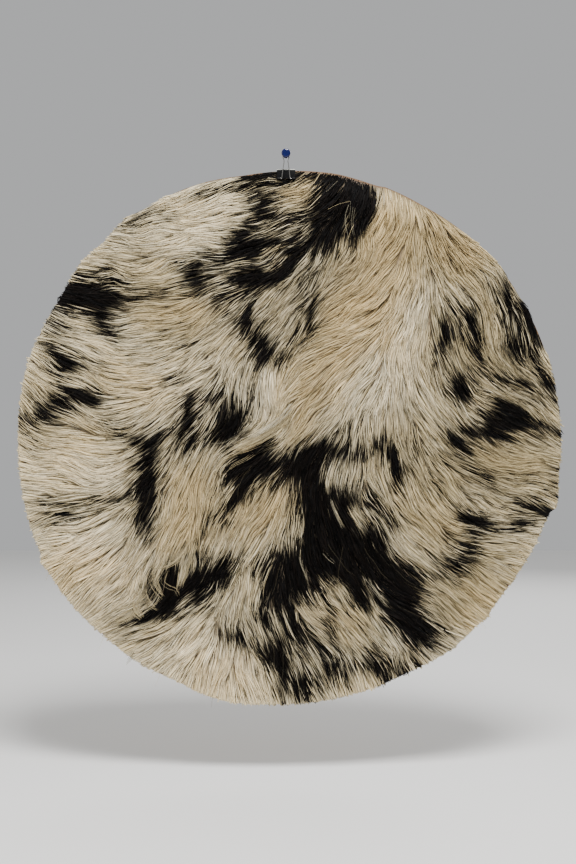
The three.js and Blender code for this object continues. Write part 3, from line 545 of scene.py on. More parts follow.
MIXED = [  # where black and pale hairs grow side by side, and widened edges of the black
    # upper left
    daub(0.45, (-228, 130, 4), (-206, 124, 5)), daub(1, (-240, 138, 4), (-228, 134, 5)),
    daub(0.6, (-248, 116, 5), (-238, 107, 5)), daub(0.9, (-200, 124, 7), (-192, 112, 7), (-184, 102, 4)),
    daub(0.5, (-118, 176, 5), (-108, 172, 5)), daub(0.45, (-200, 172, 5), (-180, 171, 6), (-168, 165, 5)),
    daub(0.4, (-200, 78, 3), (-188, 70, 4), (-178, 58, 4)), daub(0.5, (-114, 150, 6), (-92, 148, 6)),
    # The first stroke on the next line, along the upper-left rim, is painted shade: the rim's shadow, given
    # as dark hairs.
    daub(0.5, (-174, 214, 5), (-150, 228, 6), (-128, 232, 5)), daub(0.14, (-190, 190, 8), (-140, 192, 8)),
    daub(0.58, (-128, 56, 6), (-110, 60, 7)), daub(0.6, (-165, 150, 6), (-130, 149, 6)),
    # top
    daub(0.6, (14, 232, 5), (8, 216, 6), (0, 204, 5)), daub(0.6, (-16, 178, 5), (-2, 172, 6), (12, 186, 4)),
    daub(0.5, (-40, 212, 5), (-22, 212, 5)), daub(0.5, (0, 166, 4), (-8, 152, 4)),
    daub(0.9, (8, 272, 4), (24, 269, 6), (33, 261, 7)), daub(1, (84, 248, 6), (86, 236, 5), (80, 224, 4)),
    daub(0.5, (0, 224, 5), (12, 230, 5)), daub(0.4, (-40, 190, 6), (-25, 187, 6), (-12, 190, 5)),
    daub(0.85, (46, 226, 10), (40, 206, 9), (28, 190, 8)), daub(0.6, (8, 184, 5), (4, 172, 4), (-6, 160, 4)),
    daub(0.7, (13, 160, 4), (17, 135, 5)), daub(0.58, (-104, 150, 8), (-60, 147, 9), (-34, 150, 7)),
    daub(0.4, (-72, 135, 12), (-52, 126, 11)), daub(0.35, (-46, 125, 4), (-48, 105, 5), (-42, 88, 5)),
    daub(0.5, (-18, 88, 4), (-12, 76, 5)), daub(0.45, (11, 120, 4), (8, 100, 4), (2, 84, 5)),
    daub(0.65, (-100, 250, 4), (-72, 257, 6), (-52, 262, 5)), daub(0.7, (-72, 179, 5), (-66, 176, 4)),
    daub(0.4, (-12, 257, 6), (-10, 237, 6)),
    daub(0.8, (31, 256, 5), (24, 240, 5), (20, 225, 7), (10, 212, 6)),
    daub(0.72, (-54, 259, 6), (-38, 262, 7), (-24, 264, 6)),
    daub(0.65, (-44, 250, 5), (-36, 240, 6), (-26, 216, 6)), daub(0.35, (-20, 140, 8), (-30, 125, 8)),
    # right
    daub(0.5, (150, -130, 5), (166, -138, 5)), daub(0.5, (186, -104, 4), (170, -108, 4)),
    daub(0.5, (196, 58, 4), (228, 52, 3), (256, 44, 3)), daub(0.5, (186, 50, 5), (182, 36, 5)),
    daub(0.5, (176, 112, 5), (184, 92, 5)), daub(0.45, (166, 138, 4), (180, 130, 5)),
    daub(1, (160, 117, 5), (163, 104, 6)), daub(0.5, (172, 120, 5), (178, 110, 6), (182, 98, 6)),
    daub(0.4, (214, 150, 5), (217, 130, 6), (220, 112, 5)), daub(0.35, (152, 84, 5), (151, 70, 4)),
    daub(0.5, (186, 72, 5), (192, 56, 5), (194, 42, 5)), daub(0.6, (258, 42, 5), (272, 34, 5), (280, 26, 4)),
    daub(0.35, (128, -24, 6), (120, -10, 5)), daub(0.65, (176, -20, 6), (192, -33, 6), (208, -45, 5)),
    daub(0.35, (142, -38, 5), (160, -50, 5)), daub(0.62, (150, -22, 6), (162, -30, 6)),
    # The first stroke on the next line is partly a black streak and partly painted shadow under the lip of
    # the coat there.
    daub(0.85, (210, -96, 3), (240, -94, 3)), daub(0.6, (244, -84, 4), (260, -87, 3)),
    daub(0.7, (196, -104, 6), (192, -120, 8), (182, -136, 7)), daub(0.5, (170, -120, 6), (176, -140, 6)),
    daub(1, (118, -136, 7), (128, -143, 8), (134, -152, 6)),
    daub(0.6, (146, -147, 5), (166, -142, 6), (180, -142, 5)),
    daub(0.6, (136, -160, 6), (140, -180, 6), (150, -196, 6), (156, -208, 5)),
    daub(0.3, (230, -45, 8), (262, -50, 8)), daub(0.6, (182, 62, 5), (190, 54, 5)),
    # left
    daub(0.45, (-236, 56, 4), (-220, 50, 4)),
    daub(0.42, (-212, -67, 6), (-190, -67, 6), (-172, -68, 7), (-160, -70, 7)),
    daub(0.8, (-276, 8, 3), (-268, 14, 6), (-256, 23, 7)),
    daub(0.9, (-256, 23, 7), (-244, 30, 7), (-234, 37, 8)), daub(0.6, (-278, 26, 4), (-266, 20, 6)),
    daub(0.35, (-270, 0, 6), (-262, -20, 6)), daub(0.7, (-98, -2, 6), (-85, 0, 6)),
    daub(0.35, (-200, 15, 5), (-178, 10, 6)), daub(0.35, (-138, -8, 4), (-124, -14, 4), (-112, -22, 4)),
    daub(0.4, (-136, -50, 5), (-134, -75, 5)), daub(0.4, (-244, -92, 4), (-234, -92, 4)),
    daub(0.7, (-92, -124, 4), (-84, -134, 5)), daub(0.35, (-242, -68, 5), (-225, -70, 5)),
    daub(0.75, (-164, -60, 4), (-158, -70, 5)),
    # middle
    daub(0.6, (-60, -8, 4), (-36, -10, 4), (-14, -2, 3)), daub(0.6, (64, -26, 4), (66, -10, 4)),
    daub(0.5, (42, -68, 4), (54, -92, 4)), daub(0.5, (92, -84, 4), (108, -98, 4)),
    daub(0.7, (-80, 44, 5), (-78, 28, 5)), daub(0.7, (-42, 56, 3), (-40, 36, 4)),
    daub(0.7, (-26, -40, 6), (-36, -52, 6), (-44, -62, 5)), daub(0.82, (-12, -42, 6), (-18, -52, 6)),
    daub(0.6, (-4, -46, 6), (0, -56, 6)), daub(0.9, (4, -46, 5), (10, -56, 5)),
    daub(0.8, (10, -70, 4), (12, -84, 5)), daub(0.45, (6, -66, 6), (4, -92, 7)),
    daub(0.75, (40, -24, 4), (40, -34, 4)), daub(0.5, (50, -2, 6), (64, -8, 8), (80, -10, 8), (96, -8, 6)),
    daub(0.6, (56, -22, 6), (74, -20, 6), (88, -16, 5)), daub(0.3, (60, 12, 6), (84, 12, 6)),
    daub(0.7, (46, -54, 5), (58, -58, 5)), daub(0.5, (82, -58, 5), (92, -70, 6)),
    daub(1, (82, -98, 7), (92, -110, 8), (98, -122, 7)), daub(0.58, (-94, 22, 8), (-92, 8, 8), (-88, -8, 7)),
    daub(0.2, (-122, 96, 10), (-92, 82, 10)),
    # bottom
    daub(0.8, (-20, -168, 6), (-17, -184, 6)), daub(0.6, (18, -156, 5), (33, -165, 5)),
    daub(0.6, (36, -150, 4), (62, -150, 4)), daub(0.55, (84, -160, 5), (95, -174, 5)),
    daub(0.6, (22, -250, 5), (30, -262, 6)), daub(0.55, (48, -240, 5), (56, -258, 6)),
    daub(0.6, (-10, -206, 5), (0, -216, 5)), daub(0.5, (-48, -124, 4), (-42, -146, 4)),
    daub(0.95, (-2, -232, 5), (-4, -246, 6), (-7, -262, 7)),
    daub(0.7, (-4, -188, 6), (8, -206, 7), (16, -222, 6)),
    daub(0.75, (36, -192, 4), (40, -206, 7), (44, -222, 6)), daub(0.55, (42, -238, 7), (54, -256, 7)),
    daub(0.35, (60, -180, 8), (80, -200, 6)), daub(0.9, (-16, -124, 5), (4, -122, 6)),
    daub(1, (20, -140, 12), (40, -138, 12), (60, -142, 10)),
    daub(0.85, (16, -160, 7), (22, -166, 6), (20, -174, 4)), daub(0.85, (26, -152, 6), (32, -162, 6)),
    daub(0.6, (36, -168, 6), (45, -182, 5)), daub(0.5, (60, -168, 8), (76, -180, 6)),
    daub(1, (8, -150, 8), (8, -168, 6)), daub(0.5, (-27, -150, 4), (-27, -160, 4)),
    daub(0.75, (-27, -166, 5), (-30, -174, 6)), daub(0.8, (-12, -176, 6), (-8, -188, 5)),
    daub(0.65, (-60, -124, 5), (-48, -136, 6), (-40, -143, 5)),
    daub(0.8, (-68, -202, 5), (-58, -211, 8), (-45, -213, 7)), daub(0.5, (-36, -216, 4), (-28, -230, 4)),
    daub(0.75, (-6, -200, 6), (-2, -214, 6), (2, -222, 4)), daub(0.8, (24, -212, 6), (34, -222, 5)),
    daub(0.6, (40, -186, 5), (42, -202, 6)), daub(0.8, (26, -240, 5), (34, -250, 6)),
    daub(0.55, (26, -262, 4), (44, -260, 5), (52, -255, 4)), daub(0.9, (-14, -262, 5), (-6, -268, 4)),
    daub(0.6, (58, -228, 5), (66, -242, 6)), daub(0.8, (26, -143, 8), (34, -146, 6)),
]
PALE = [  # thin white locks that lie over the black, and the clean edge of the cream
    daub(0.35, (57, 232, 2), (60, 220, 4), (61, 206, 4)),
    daub(0.4, (45, -66, 1.5), (48, -76, 1.5), (53, -88, 1.5)),
    daub(0.4, (78, -146, 2), (88, -158, 2), (98, -172, 2)), daub(0.4, (11, -126, 2), (18, -145, 2)),
    daub(0.5, (-16, 116, 5), (-12, 102, 5)), daub(0.5, (-50, -176, 7), (-46, -186, 5)),
    daub(0.5, (-34, -168, 3), (-36, -182, 4)), daub(0.5, (8, -188, 3), (30, -196, 5)),
    daub(0.4, (36, -212, 4), (42, -224, 4)), daub(0.4, (-50, 178, 5), (-46, 172, 5)),
    daub(0.4, (-32, 254, 4), (-26, 250, 4)), daub(0.6, (205, 51, 3), (225, 44, 4), (245, 37, 3)),
    daub(0.4, (152, 130, 6), (152, 118, 5)),
    daub(1, (104, 254, 8), (102, 240, 8), (97, 226, 8), (92, 212, 8), (86, 198, 8), (80, 188, 8)),
]
WARM = [  # hair that leans to tan
    daub(1, (95, 195, 40), (60, 110, 38), (20, 55, 25), (5, 0, 12)),
    daub(0.9, (160, 205, 35), (190, 180, 20)), daub(0.8, (-150, 130, 20), (-105, 125, 18)),
    daub(0.6, (-200, 62, 12), (-165, 55, 22), (-150, 35, 15)), daub(0.8, (-100, -50, 20), (-110, -100, 28)),
    daub(0.9, (-70, -95, 12), (-35, -85, 28), (0, -70, 12)), daub(0.8, (205, 128, 10), (203, 108, 8)),
    daub(0.9, (120, -75, 10), (140, -95, 18), (170, -98, 10)), daub(0.7, (-225, -140, 25), (-185, -150, 35)),
    daub(0.6, (-90, -250, 20), (-50, -245, 15)), daub(1, (-5, 250, 12), (15, 252, 10)),
    daub(0.8, (28, -190, 10), (65, -205, 16), (75, -195, 10)), daub(0.6, (210, -165, 20), (180, -185, 15)),
    daub(0.6, (215, -28, 14), (255, -28, 10)), daub(0.4, (-215, 15, 12), (-235, -25, 25), (-180, -30, 15)),
    daub(0.6, (-20, 187, 10)),
]
GREY = [  # pale hair with grey among it
    daub(1, (-50, 258, 10), (-24, 262, 8)), daub(1, (-40, 240, 12), (-24, 222, 14), (-4, 210, 12)),
    daub(0.9, (-60, 190, 12), (-25, 186, 12)), daub(0.9, (-80, 172, 10), (-60, 172, 10)),
    daub(0.7, (60, 185, 12), (35, 165, 18), (5, 150, 18), (0, 115, 18)),
    daub(0.5, (150, 160, 12), (155, 130, 12)), daub(0.7, (-180, 152, 12), (-130, 147, 8)),
    # The first stroke on the next line, along the upper-left rim, is painted shade: the rim's shadow, given
    # as grey hairs.
    daub(0.8, (-160, 228, 10), (-130, 225, 10)), daub(0.8, (-85, 60, 18), (-60, 40, 18), (-50, 60, 12)),
    daub(0.7, (-255, -70, 14), (-225, -75, 14)), daub(0.7, (120, 20, 16), (130, -20, 14), (120, -50, 12)),
    daub(0.7, (205, -60, 16), (240, -60, 12)), daub(0.7, (-60, -200, 18), (-35, -200, 12)),
    daub(0.6, (30, 60, 8), (35, -35, 4), (80, -35, 12)), daub(0.8, (240, 60, 22), (255, 30, 14)),
    daub(0.6, (20, -230, 18), (60, -235, 16)), daub(0.7, (-265, 40, 10), (-262, 0, 12)),
    daub(0.6, (165, 80, 12), (175, 25, 10)), daub(0.6, (-70, 120, 20), (-80, 140, 12)),
    daub(0.5, (145, -170, 16), (165, -190, 12)),
]
# Painted light: whiter, brighter hair where the coat should catch the most light.
PAINTED_LIGHT = [  # where the coat is brightest
    daub(1.3, (-225, -120, 30), (-185, -150, 30)),
    daub(1.4, (-110, -225, 18), (-70, -248, 22), (-40, -250, 15)), daub(1, (-250, -25, 20), (-190, -42, 22)),
    daub(0.7, (-110, 215, 40), (-75, 235, 25)), daub(0.6, (60, 60, 40), (100, 120, 30), (90, 20, 25)),
    daub(0.7, (-195, 90, 12), (-225, 98, 8)), daub(1, (102, 248, 8), (120, 243, 5), (135, 238, 3)),
    daub(0.3, (195, -185, 12)), daub(0.8, (-160, 50, 25), (-25, 40, 20)),
]
# Painted shade: duller hair where the coat should catch the least light.
PAINTED_SHADE = [  # where it is dullest
    daub(1.3, (190, -30, 40), (250, -40, 30), (240, 60, 25), (180, 90, 30)),
    daub(0.7, (-265, 40, 15), (-262, 0, 15)), daub(0.9, (125, -20, 30), (170, -60, 30)),
    daub(0.5, (-150, 160, 25), (-120, 110, 25)), daub(1.2, (135, 195, 24), (175, 180, 24), (210, 150, 20)),
    daub(0.6, (60, 180, 12), (0, 130, 20)), daub(1.2, (170, -165, 25), (215, -130, 25)),
    daub(0.7, (170, -110, 20)),
]


def daub_cover(daubs, x, z, softness, wider=0.0):
    """The largest share that any stroke gives a point, fading over its edge."""
    cover = np.zeros(np.shape(x))
    for share, spots in daubs:
        for (ax, az, ar), (bx, bz, br) in zip(spots, spots[1:]):
            span = max((bx - ax) ** 2 + (bz - az) ** 2, 1e-6)
            along = np.clip(((x - ax) * (bx - ax) + (z - az) * (bz - az)) / span, 0, 1)
            apart = np.hypot(x - ax - along * (bx - ax), z - az - along * (bz - az))
            inside = np.clip(0.5 + (ar + wider + along * (br - ar) - apart) / softness, 0, 1)
            cover = np.maximum(cover, share * inside)
    return cover


FRINGE_SHARE, GREY_SHARE = 0.5, 0.2  # of black hairs just outside a stroke, and in a grey part


def blackness(x, z):
    """The strokes themselves, the smoky fringe round them, and the dark hairs of the grey parts."""
    core = np.maximum(daub_cover(BLACK, x, z, 6.0, 1.0), daub_cover(MIXED, x, z, 9.0, 1.0))
    fringe = daub_cover(BLACK, x, z, 26.0, 4.0) * FRINGE_SHARE
    stray = daub_cover(GREY, x, z, 20.0) * GREY_SHARE
    return np.maximum(np.maximum(core, fringe), stray) * (1 - daub_cover(PALE, x, z, 3.0))


print(len(BLACK) + len(MIXED), "black strokes")

# %% [markdown]
# The hide is a sheet of rawhide a millimetre and a half thick. A row of points from the middle to the
# edge is spun into a round sheet, laid on the curl of the solid and given its thickness. Spinning
# keeps rings and spokes even, which suits a round cut better than a square grid would.

# %% Hide
HIDE_SPOKES, HIDE_RINGS = 240, 40
EDGE_BAND = 3.0  # width of the brown along the cut


def lay_on_curl(vertices):
    """Moves a flat disc of radius one onto the hide's outline and curl."""
    for vertex in vertices:
        x, z = vertex.co.x, vertex.co.z
        rim = float(around(RIM, np.array(x), np.array(z)))
        x, z = x * rim, z * rim
        height = float(stand_off(np.array(x), np.array(z)))
        vertex.co = Vector(in_frame(x, np.array(height + HIDE), z))


def piece_of(mesh):
    """Puts a finished mesh in the scene as a piece of its own name."""
    piece = bpy.data.objects.new(mesh.name, mesh)
    bpy.context.collection.objects.link(piece)
    return piece


def make_hide():
    bm = bmesh.new()
    spoke = [bm.verts.new((i / HIDE_RINGS, 0, 0)) for i in range(HIDE_RINGS + 1)]
    edges = [bm.edges.new(pair) for pair in zip(spoke, spoke[1:])]
    bmesh.ops.spin(
        bm, geom=spoke + edges, cent=(0, 0, 0), axis=(0, 1, 0), angle=2 * math.pi,
        steps=HIDE_SPOKES, use_merge=True,
    )
    bmesh.ops.remove_doubles(bm, verts=bm.verts, dist=1e-5)
    lay_on_curl(bm.verts)
    bmesh.ops.recalc_face_normals(bm, faces=bm.faces)
    if sum(face.normal.y for face in bm.faces) > 0:
        bmesh.ops.reverse_faces(bm, faces=bm.faces)
    front = list(bm.faces)
    bmesh.ops.solidify(bm, geom=front, thickness=HIDE * MM)
    bmesh.ops.recalc_face_normals(bm, faces=bm.faces)
    mesh = bpy.data.meshes.new("hide")
    bm.to_mesh(mesh)
    bm.free()
    mesh.shade_smooth()
    return piece_of(mesh)


def vertex_points(mesh):
    points = np.empty(len(mesh.vertices) * 3)
    mesh.vertices.foreach_get("co", points)
    return points.reshape(-1, 3)


def add_attribute(mesh, name, kind, values):
    field = mesh.attributes.new(name, kind, "POINT")
    field.data.foreach_set("color" if kind == "FLOAT_COLOR" else "value", values.ravel())


hide = make_hide()
hide_points = vertex_points(hide.data) / MM
skin_x, skin_z = hide_points[:, 0] - SKIN_X, hide_points[:, 2] - SKIN_Z
from_rim = around(RIM, skin_x, skin_z) - np.hypot(skin_x, skin_z)
add_attribute(hide.data, "pigment", "FLOAT", blackness(skin_x, skin_z))
add_attribute(hide.data, "cut_edge", "FLOAT", np.clip(1 - from_rim / EDGE_BAND, 0, 1))
# The hair side is marked so that the material can paint it dark, as the shade under the coat.
in_front = -hide_points[:, 1] > stand_off(skin_x, skin_z) + HIDE / 2
add_attribute(hide.data, "hair_side", "FLOAT", in_front.astype(float))
print("hide", len(hide.data.polygons), "faces")

# %% [markdown]
# Hair doesn't lie strand by strand: it gathers into locks whose tips draw together. So the coat is
# made in two steps. First a few thousand guide lines start at a jittered grid and walk along the
# combed field, each with its own small error of aim, while soft waves bend all of them. Then every
# strand takes the path of its nearest guide, keeps its own offset from it at the root, and loses
# most of it at the tip. Random numbers are seeded, so the coat is the same each time.

# %% Guide lines of the locks
LOCK_SPACING = 8.0
GUIDE_STEP, GUIDE_STEPS = 4.0, 13
AIM_ERROR = 3.0  # degrees
ROOT_REACH = 290.0  # half width of the square that roots are laid out on


def jittered_points(spacing, margin):
    """A square grid with every point shaken, kept to what lies on the skin."""
    line = np.arange(-ROOT_REACH, ROOT_REACH + spacing, spacing)
    x, z = (values.ravel() for values in np.meshgrid(line, line))
    x = x + rng.uniform(-0.5, 0.5, x.shape) * spacing
    z = z + rng.uniform(-0.5, 0.5, z.shape) * spacing
    keep = np.hypot(x, z) < around(RIM, x, z) - margin
    return x[keep], z[keep]


def soft_noise(x, z, scale, size=1.0):
    """Smooth random hills about as wide as scale."""
    count = int(2 * GRID_REACH / scale) + 3
    hills = rng.normal(0, size, (count, count))
    column, row = (x + GRID_REACH) / scale, (z + GRID_REACH) / scale
    i, j = np.clip(row.astype(int), 0, count - 2), np.clip(column.astype(int), 0, count - 2)
    fi, fj = np.clip(row - i, 0, 1), np.clip(column - j, 0, 1)
    fi, fj = fi * fi * (3 - 2 * fi), fj * fj * (3 - 2 * fj)
    near = hills[i, j] * (1 - fj) + hills[i, j + 1] * fj
    far = hills[i + 1, j] * (1 - fj) + hills[i + 1, j + 1] * fj
    return near * (1 - fi) + far * fi


def turned(way, angle):
    c, s = np.cos(angle), np.sin(angle)
    return np.stack([way[:, 0] * c - way[:, 1] * s, way[:, 0] * s + way[:, 1] * c], axis=-1)


WAVE_GRID = soft_noise(GRID_X, GRID_Z, 13, 11) + soft_noise(GRID_X, GRID_Z, 34, 6)


def walk_guides(x, z):
    """Each guide keeps its own small error of aim, and all of them bend with the same waves."""
    aim = rng.normal(0, AIM_ERROR, len(x))
    place = np.stack([x, z], axis=-1)
    path = [place]
    for _ in range(GUIDE_STEPS):
        bend = np.radians(aim + read_grid(WAVE_GRID, place[:, 0], place[:, 1]))
        place = place + turned(flow(place[:, 0], place[:, 1]), bend) * GUIDE_STEP
        path.append(place)
    return np.stack(path, axis=1)


guide_x, guide_z = jittered_points(LOCK_SPACING, -2)
GUIDES = walk_guides(guide_x, guide_z)
guide_tree = KDTree(len(guide_x))
for index, spot in enumerate(zip(guide_x, guide_z)):
    guide_tree.insert((*spot, 0), index)
guide_tree.balance()
GUIDE_LUCK = rng.uniform(0, 1, len(guide_x))  # decides black or pale for a whole lock
GUIDE_TINT = rng.normal(0, 1, len(guide_x)) * 0.5 + soft_noise(guide_x, guide_z, 30)  # paler to warmer
GUIDE_LIFT = rng.normal(0, 1.0, len(guide_x)) + soft_noise(guide_x, guide_z, 22, 0.6)
GUIDE_LENGTH = rng.uniform(0.85, 1.12, len(guide_x))
GUIDE_PINCH = rng.beta(1.4, 2.2, len(guide_x)) * 0.85  # how tightly a lock draws together
print(len(guide_x), "guides")

# %% [markdown]
# A strand is a thin three-sided spear: flat underneath, with a ridge on top that catches the light
# as a real lock's rounded back does. All strands are worked out together as arrays and written
# into a few meshes, because more than fifty thousand objects, or as many calls to an operator,
# would take many minutes. Each mesh stays under two hundred thousand triangles.

# %% Strands
STRAND_SPACING = 2.14
SEGMENTS = 3
MEAN_LENGTH = 39.0
SHORT_SHARE = 0.25  # of the strands, which are shorter and lie lower
LOCK_CROWN = 1.3  # how far the middle of a lock stands over its sides
PEAK_OVER = 1.2  # how far a strand may stand over the solid's face
OVERHANG, LONG_SHARE = 0.15, 0.004  # spread of the cut past the rim, and share of uncut hairs
SECTION = np.array([(-0.5, 0.0), (0.0, 0.3), (0.5, 0.0)])  # across and up, in widths


def guide_at(guide, steps):
    """Points of guides at a number of steps from their roots."""
    low = np.clip(steps.astype(int), 0, GUIDE_STEPS - 1)
    share = (steps - low)[..., None]
    rows = guide[:, None]
    return GUIDES[rows, low] * (1 - share) + GUIDES[rows, low + 1] * share


def rise(share):
    """How a strand climbs out of the hide: its tip lies on the roots of the next, as in thatch."""
    return share**0.65


FREE_STATIONS, FREE_TAPER = (0, 0.38, 0.7, 1), (0.8, 1.0, 0.72)  # places and widths of a grown strand
CUT_STATIONS, CUT_TAPER = (0, 0.45, 0.94, 1), (0.8, 1.0, 0.9)  # and of one cut off at the rim


def strand_paths(x, z):
    """Points along each strand, their heights over the hide, and each one's guide, layer and widths."""
    count = len(x)
    guide = np.array([guide_tree.find((a, b, 0))[1] for a, b in zip(x, z)])
    offset = np.stack([x, z], axis=-1) - GUIDES[guide, 0]
    pinch = np.clip(GUIDE_PINCH[guide] + rng.uniform(-0.1, 0.1, count), 0, 0.9)[:, None, None]
    stray = rng.normal(0, 0.8, (count, 1, 2))
    short = rng.uniform(0, 1, count) < SHORT_SHARE
    length = MEAN_LENGTH * GUIDE_LENGTH[guide] * rng.uniform(0.75, 1.15, count)
    length = np.where(short, length * rng.uniform(0.3, 0.65, count), length)
    reach = np.minimum(length / GUIDE_STEP, GUIDE_STEPS - 0.01)
    kept = trimmed_share(guide, offset, reach)
    reach = reach * kept
    share = np.where(kept[:, None] < 1, CUT_STATIONS, FREE_STATIONS)
    taper = np.where(kept[:, None] < 1, CUT_TAPER, FREE_TAPER)
    path = guide_at(guide, reach[:, None] * share)
    along = share[..., None]
    path = path + offset[:, None] * (1 - pinch * along**1.3) + stray * along**1.6 * kept[:, None, None]
    layer = rng.uniform(0.12, 1, count) ** 0.62 * np.where(short, 0.75, 1)
    top = coat_depth(path[..., 0], path[..., 1])
    round_back = LOCK_CROWN * (1 - (np.linalg.norm(offset, axis=-1) / (0.6 * LOCK_SPACING)) ** 2)
    loose = np.minimum(top / 6, 1) * (GUIDE_LIFT[guide] + round_back)[:, None]
    height = (top * layer[:, None] + loose) * rise(share * kept[:, None])
    height = np.clip(height, 0.15, np.maximum(top + PEAK_OVER, 0.2))
    return path, height, guide, layer, taper


def trimmed_share(guide, offset, reach):
    """The coat was cut with the hide, so a strand stops at the rim."""
    count, steps = len(guide), 25
    share = np.linspace(0, 1, steps)[None, :]
    line = guide_at(guide, reach[:, None] * share) + offset[:, None] * (1 - 0.5 * share[..., None])
    past = np.clip(rng.normal(0, OVERHANG, count), -0.5, 0.4)
    past = np.where(rng.uniform(0, 1, count) < LONG_SHARE, rng.uniform(0.8, 3.5, count), past)
    excess = np.hypot(line[..., 0], line[..., 1]) - around(RIM, line[..., 0], line[..., 1]) - past[:, None]
    first = np.clip((excess > 0).argmax(axis=1), 1, steps - 1)
    row = np.arange(count)
    inner, outer = excess[row, first - 1], excess[row, first]
    crossing = (first - 1 + np.clip(-inner / np.maximum(outer - inner, 1e-6), 0, 1)) / (steps - 1)
    return np.where((excess > 0).any(axis=1), np.clip(crossing, 0.04, 1), 1)


def spear_mesh(name, path, height, taper, colours):
    """Joins strands into one mesh: rings of three points along each, a point at the tip."""
    count, rings = len(path), path.shape[1] - 1
    way = np.gradient(path, axis=1)
    way = way / np.maximum(np.linalg.norm(way, axis=-1, keepdims=True), 1e-6)
    side = np.stack([way[..., 1], -way[..., 0]], axis=-1)
    base = stand_off(path[..., 0], path[..., 1]) + HIDE + height
    across = path[:, :rings, None] + (side[:, :rings] * taper[..., None])[:, :, None] * SECTION[:, :1]
    up = base[:, :rings, None] + taper[..., None] * SECTION[:, 1]
    body = in_frame(across[..., 0], up, across[..., 1]).reshape(count, rings * 3, 3)
    tip = in_frame(path[:, -1, 0], base[:, -1], path[:, -1, 1])[:, None]
    points = np.concatenate([body, tip], axis=1)
    each = rings * 3 + 1
    faces = []
    for ring in range(rings - 1):
        for corner in range(3):
            a, b = ring * 3 + corner, ring * 3 + (corner + 1) % 3
            faces += [(a, b, b + 3), (a, b + 3, a + 3)]
    last = (rings - 1) * 3
    faces += [(last + corner, last + (corner + 1) % 3, each - 1) for corner in range(3)]
    faces.append((2, 1, 0))
    corners = (np.array(faces)[None] + np.arange(count)[:, None, None] * each).reshape(-1, 3)
    mesh = bpy.data.meshes.new(name)
    mesh.vertices.add(count * each)
    mesh.vertices.foreach_set("co", points.astype(np.float32).ravel())
    mesh.loops.add(corners.size)
    mesh.loops.foreach_set("vertex_index", corners.astype(np.int32).ravel())
    mesh.polygons.add(len(corners))
    mesh.polygons.foreach_set("loop_start", np.arange(0, corners.size, 3, dtype=np.int32))
    mesh.polygons.foreach_set("use_smooth", np.ones(len(corners), bool))
    ring_of = np.append(np.repeat(np.arange(rings), 3), rings)
    add_attribute(mesh, "hair_colour", "FLOAT_COLOR", colours[:, ring_of].reshape(-1, 4))
    own_map(mesh, count, np.array(faces), rings)
    mesh.update(calc_edges=True)
    mesh.validate()
    return piece_of(mesh)


CELL_SHAPE = 3.2  # length of a cell over its width


def own_map(mesh, count, faces, rings):
    """A small cell of the map for every strand, so that a baked copy keeps its colours."""
    columns = math.ceil(math.sqrt(count * CELL_SHAPE))
    rows = math.ceil(count / columns)
    u = np.append(np.tile([0.2, 0.5, 0.8], rings), 0.5)
    v = np.append(np.repeat(np.arange(rings), 3), rings) / rings * 0.8 + 0.1
    cell = np.arange(count)
    u_all = (cell % columns)[:, None] / columns + u[faces.ravel()][None] / columns
    v_all = (cell // columns)[:, None] / rows + v[faces.ravel()][None] / rows
    layer = mesh.uv_layers.new(name="OFBake")
    layer.uv.foreach_set("vector", np.stack([u_all, v_all], axis=-1).astype(np.float32).ravel())


# %% [markdown]
# Cream hair isn't one colour: it runs from cool white to warm tan, and every lock differs a little
# from the next. Shade is painted in too: darker towards the root, and darker for strands that lie low
# in the coat. The colour is worked out for each strand and stored on its points, which a hair
# material then reads.

# %% Colours of the strands
def linear(code):
    """A colour written as six hex digits, as the linear numbers that Blender uses."""
    parts = np.array([int(code[i:i + 2], 16) / 255 for i in (0, 2, 4)])
    return np.where(parts <= 0.04045, parts / 12.92, ((parts + 0.055) / 1.055) ** 2.4)


CREAM, WHITE, TAN = linear("DDC99A"), linear("F5E9CB"), linear("CBB07E")
ASH, JET, UMBER = linear("99917A"), linear("030202"), linear("150D07")


LOCK_SHARE = 0.4  # of the strands, which are black or pale as their whole lock is
TURN_WIDTH = 0.14  # how suddenly a strand turns from pale to black
# Painted shade: the strands are drawn darker towards the root.
ROOT_SHADE, SHADED_PART = 0.55, 0.4  # brightness at the root, and how far along it still shows


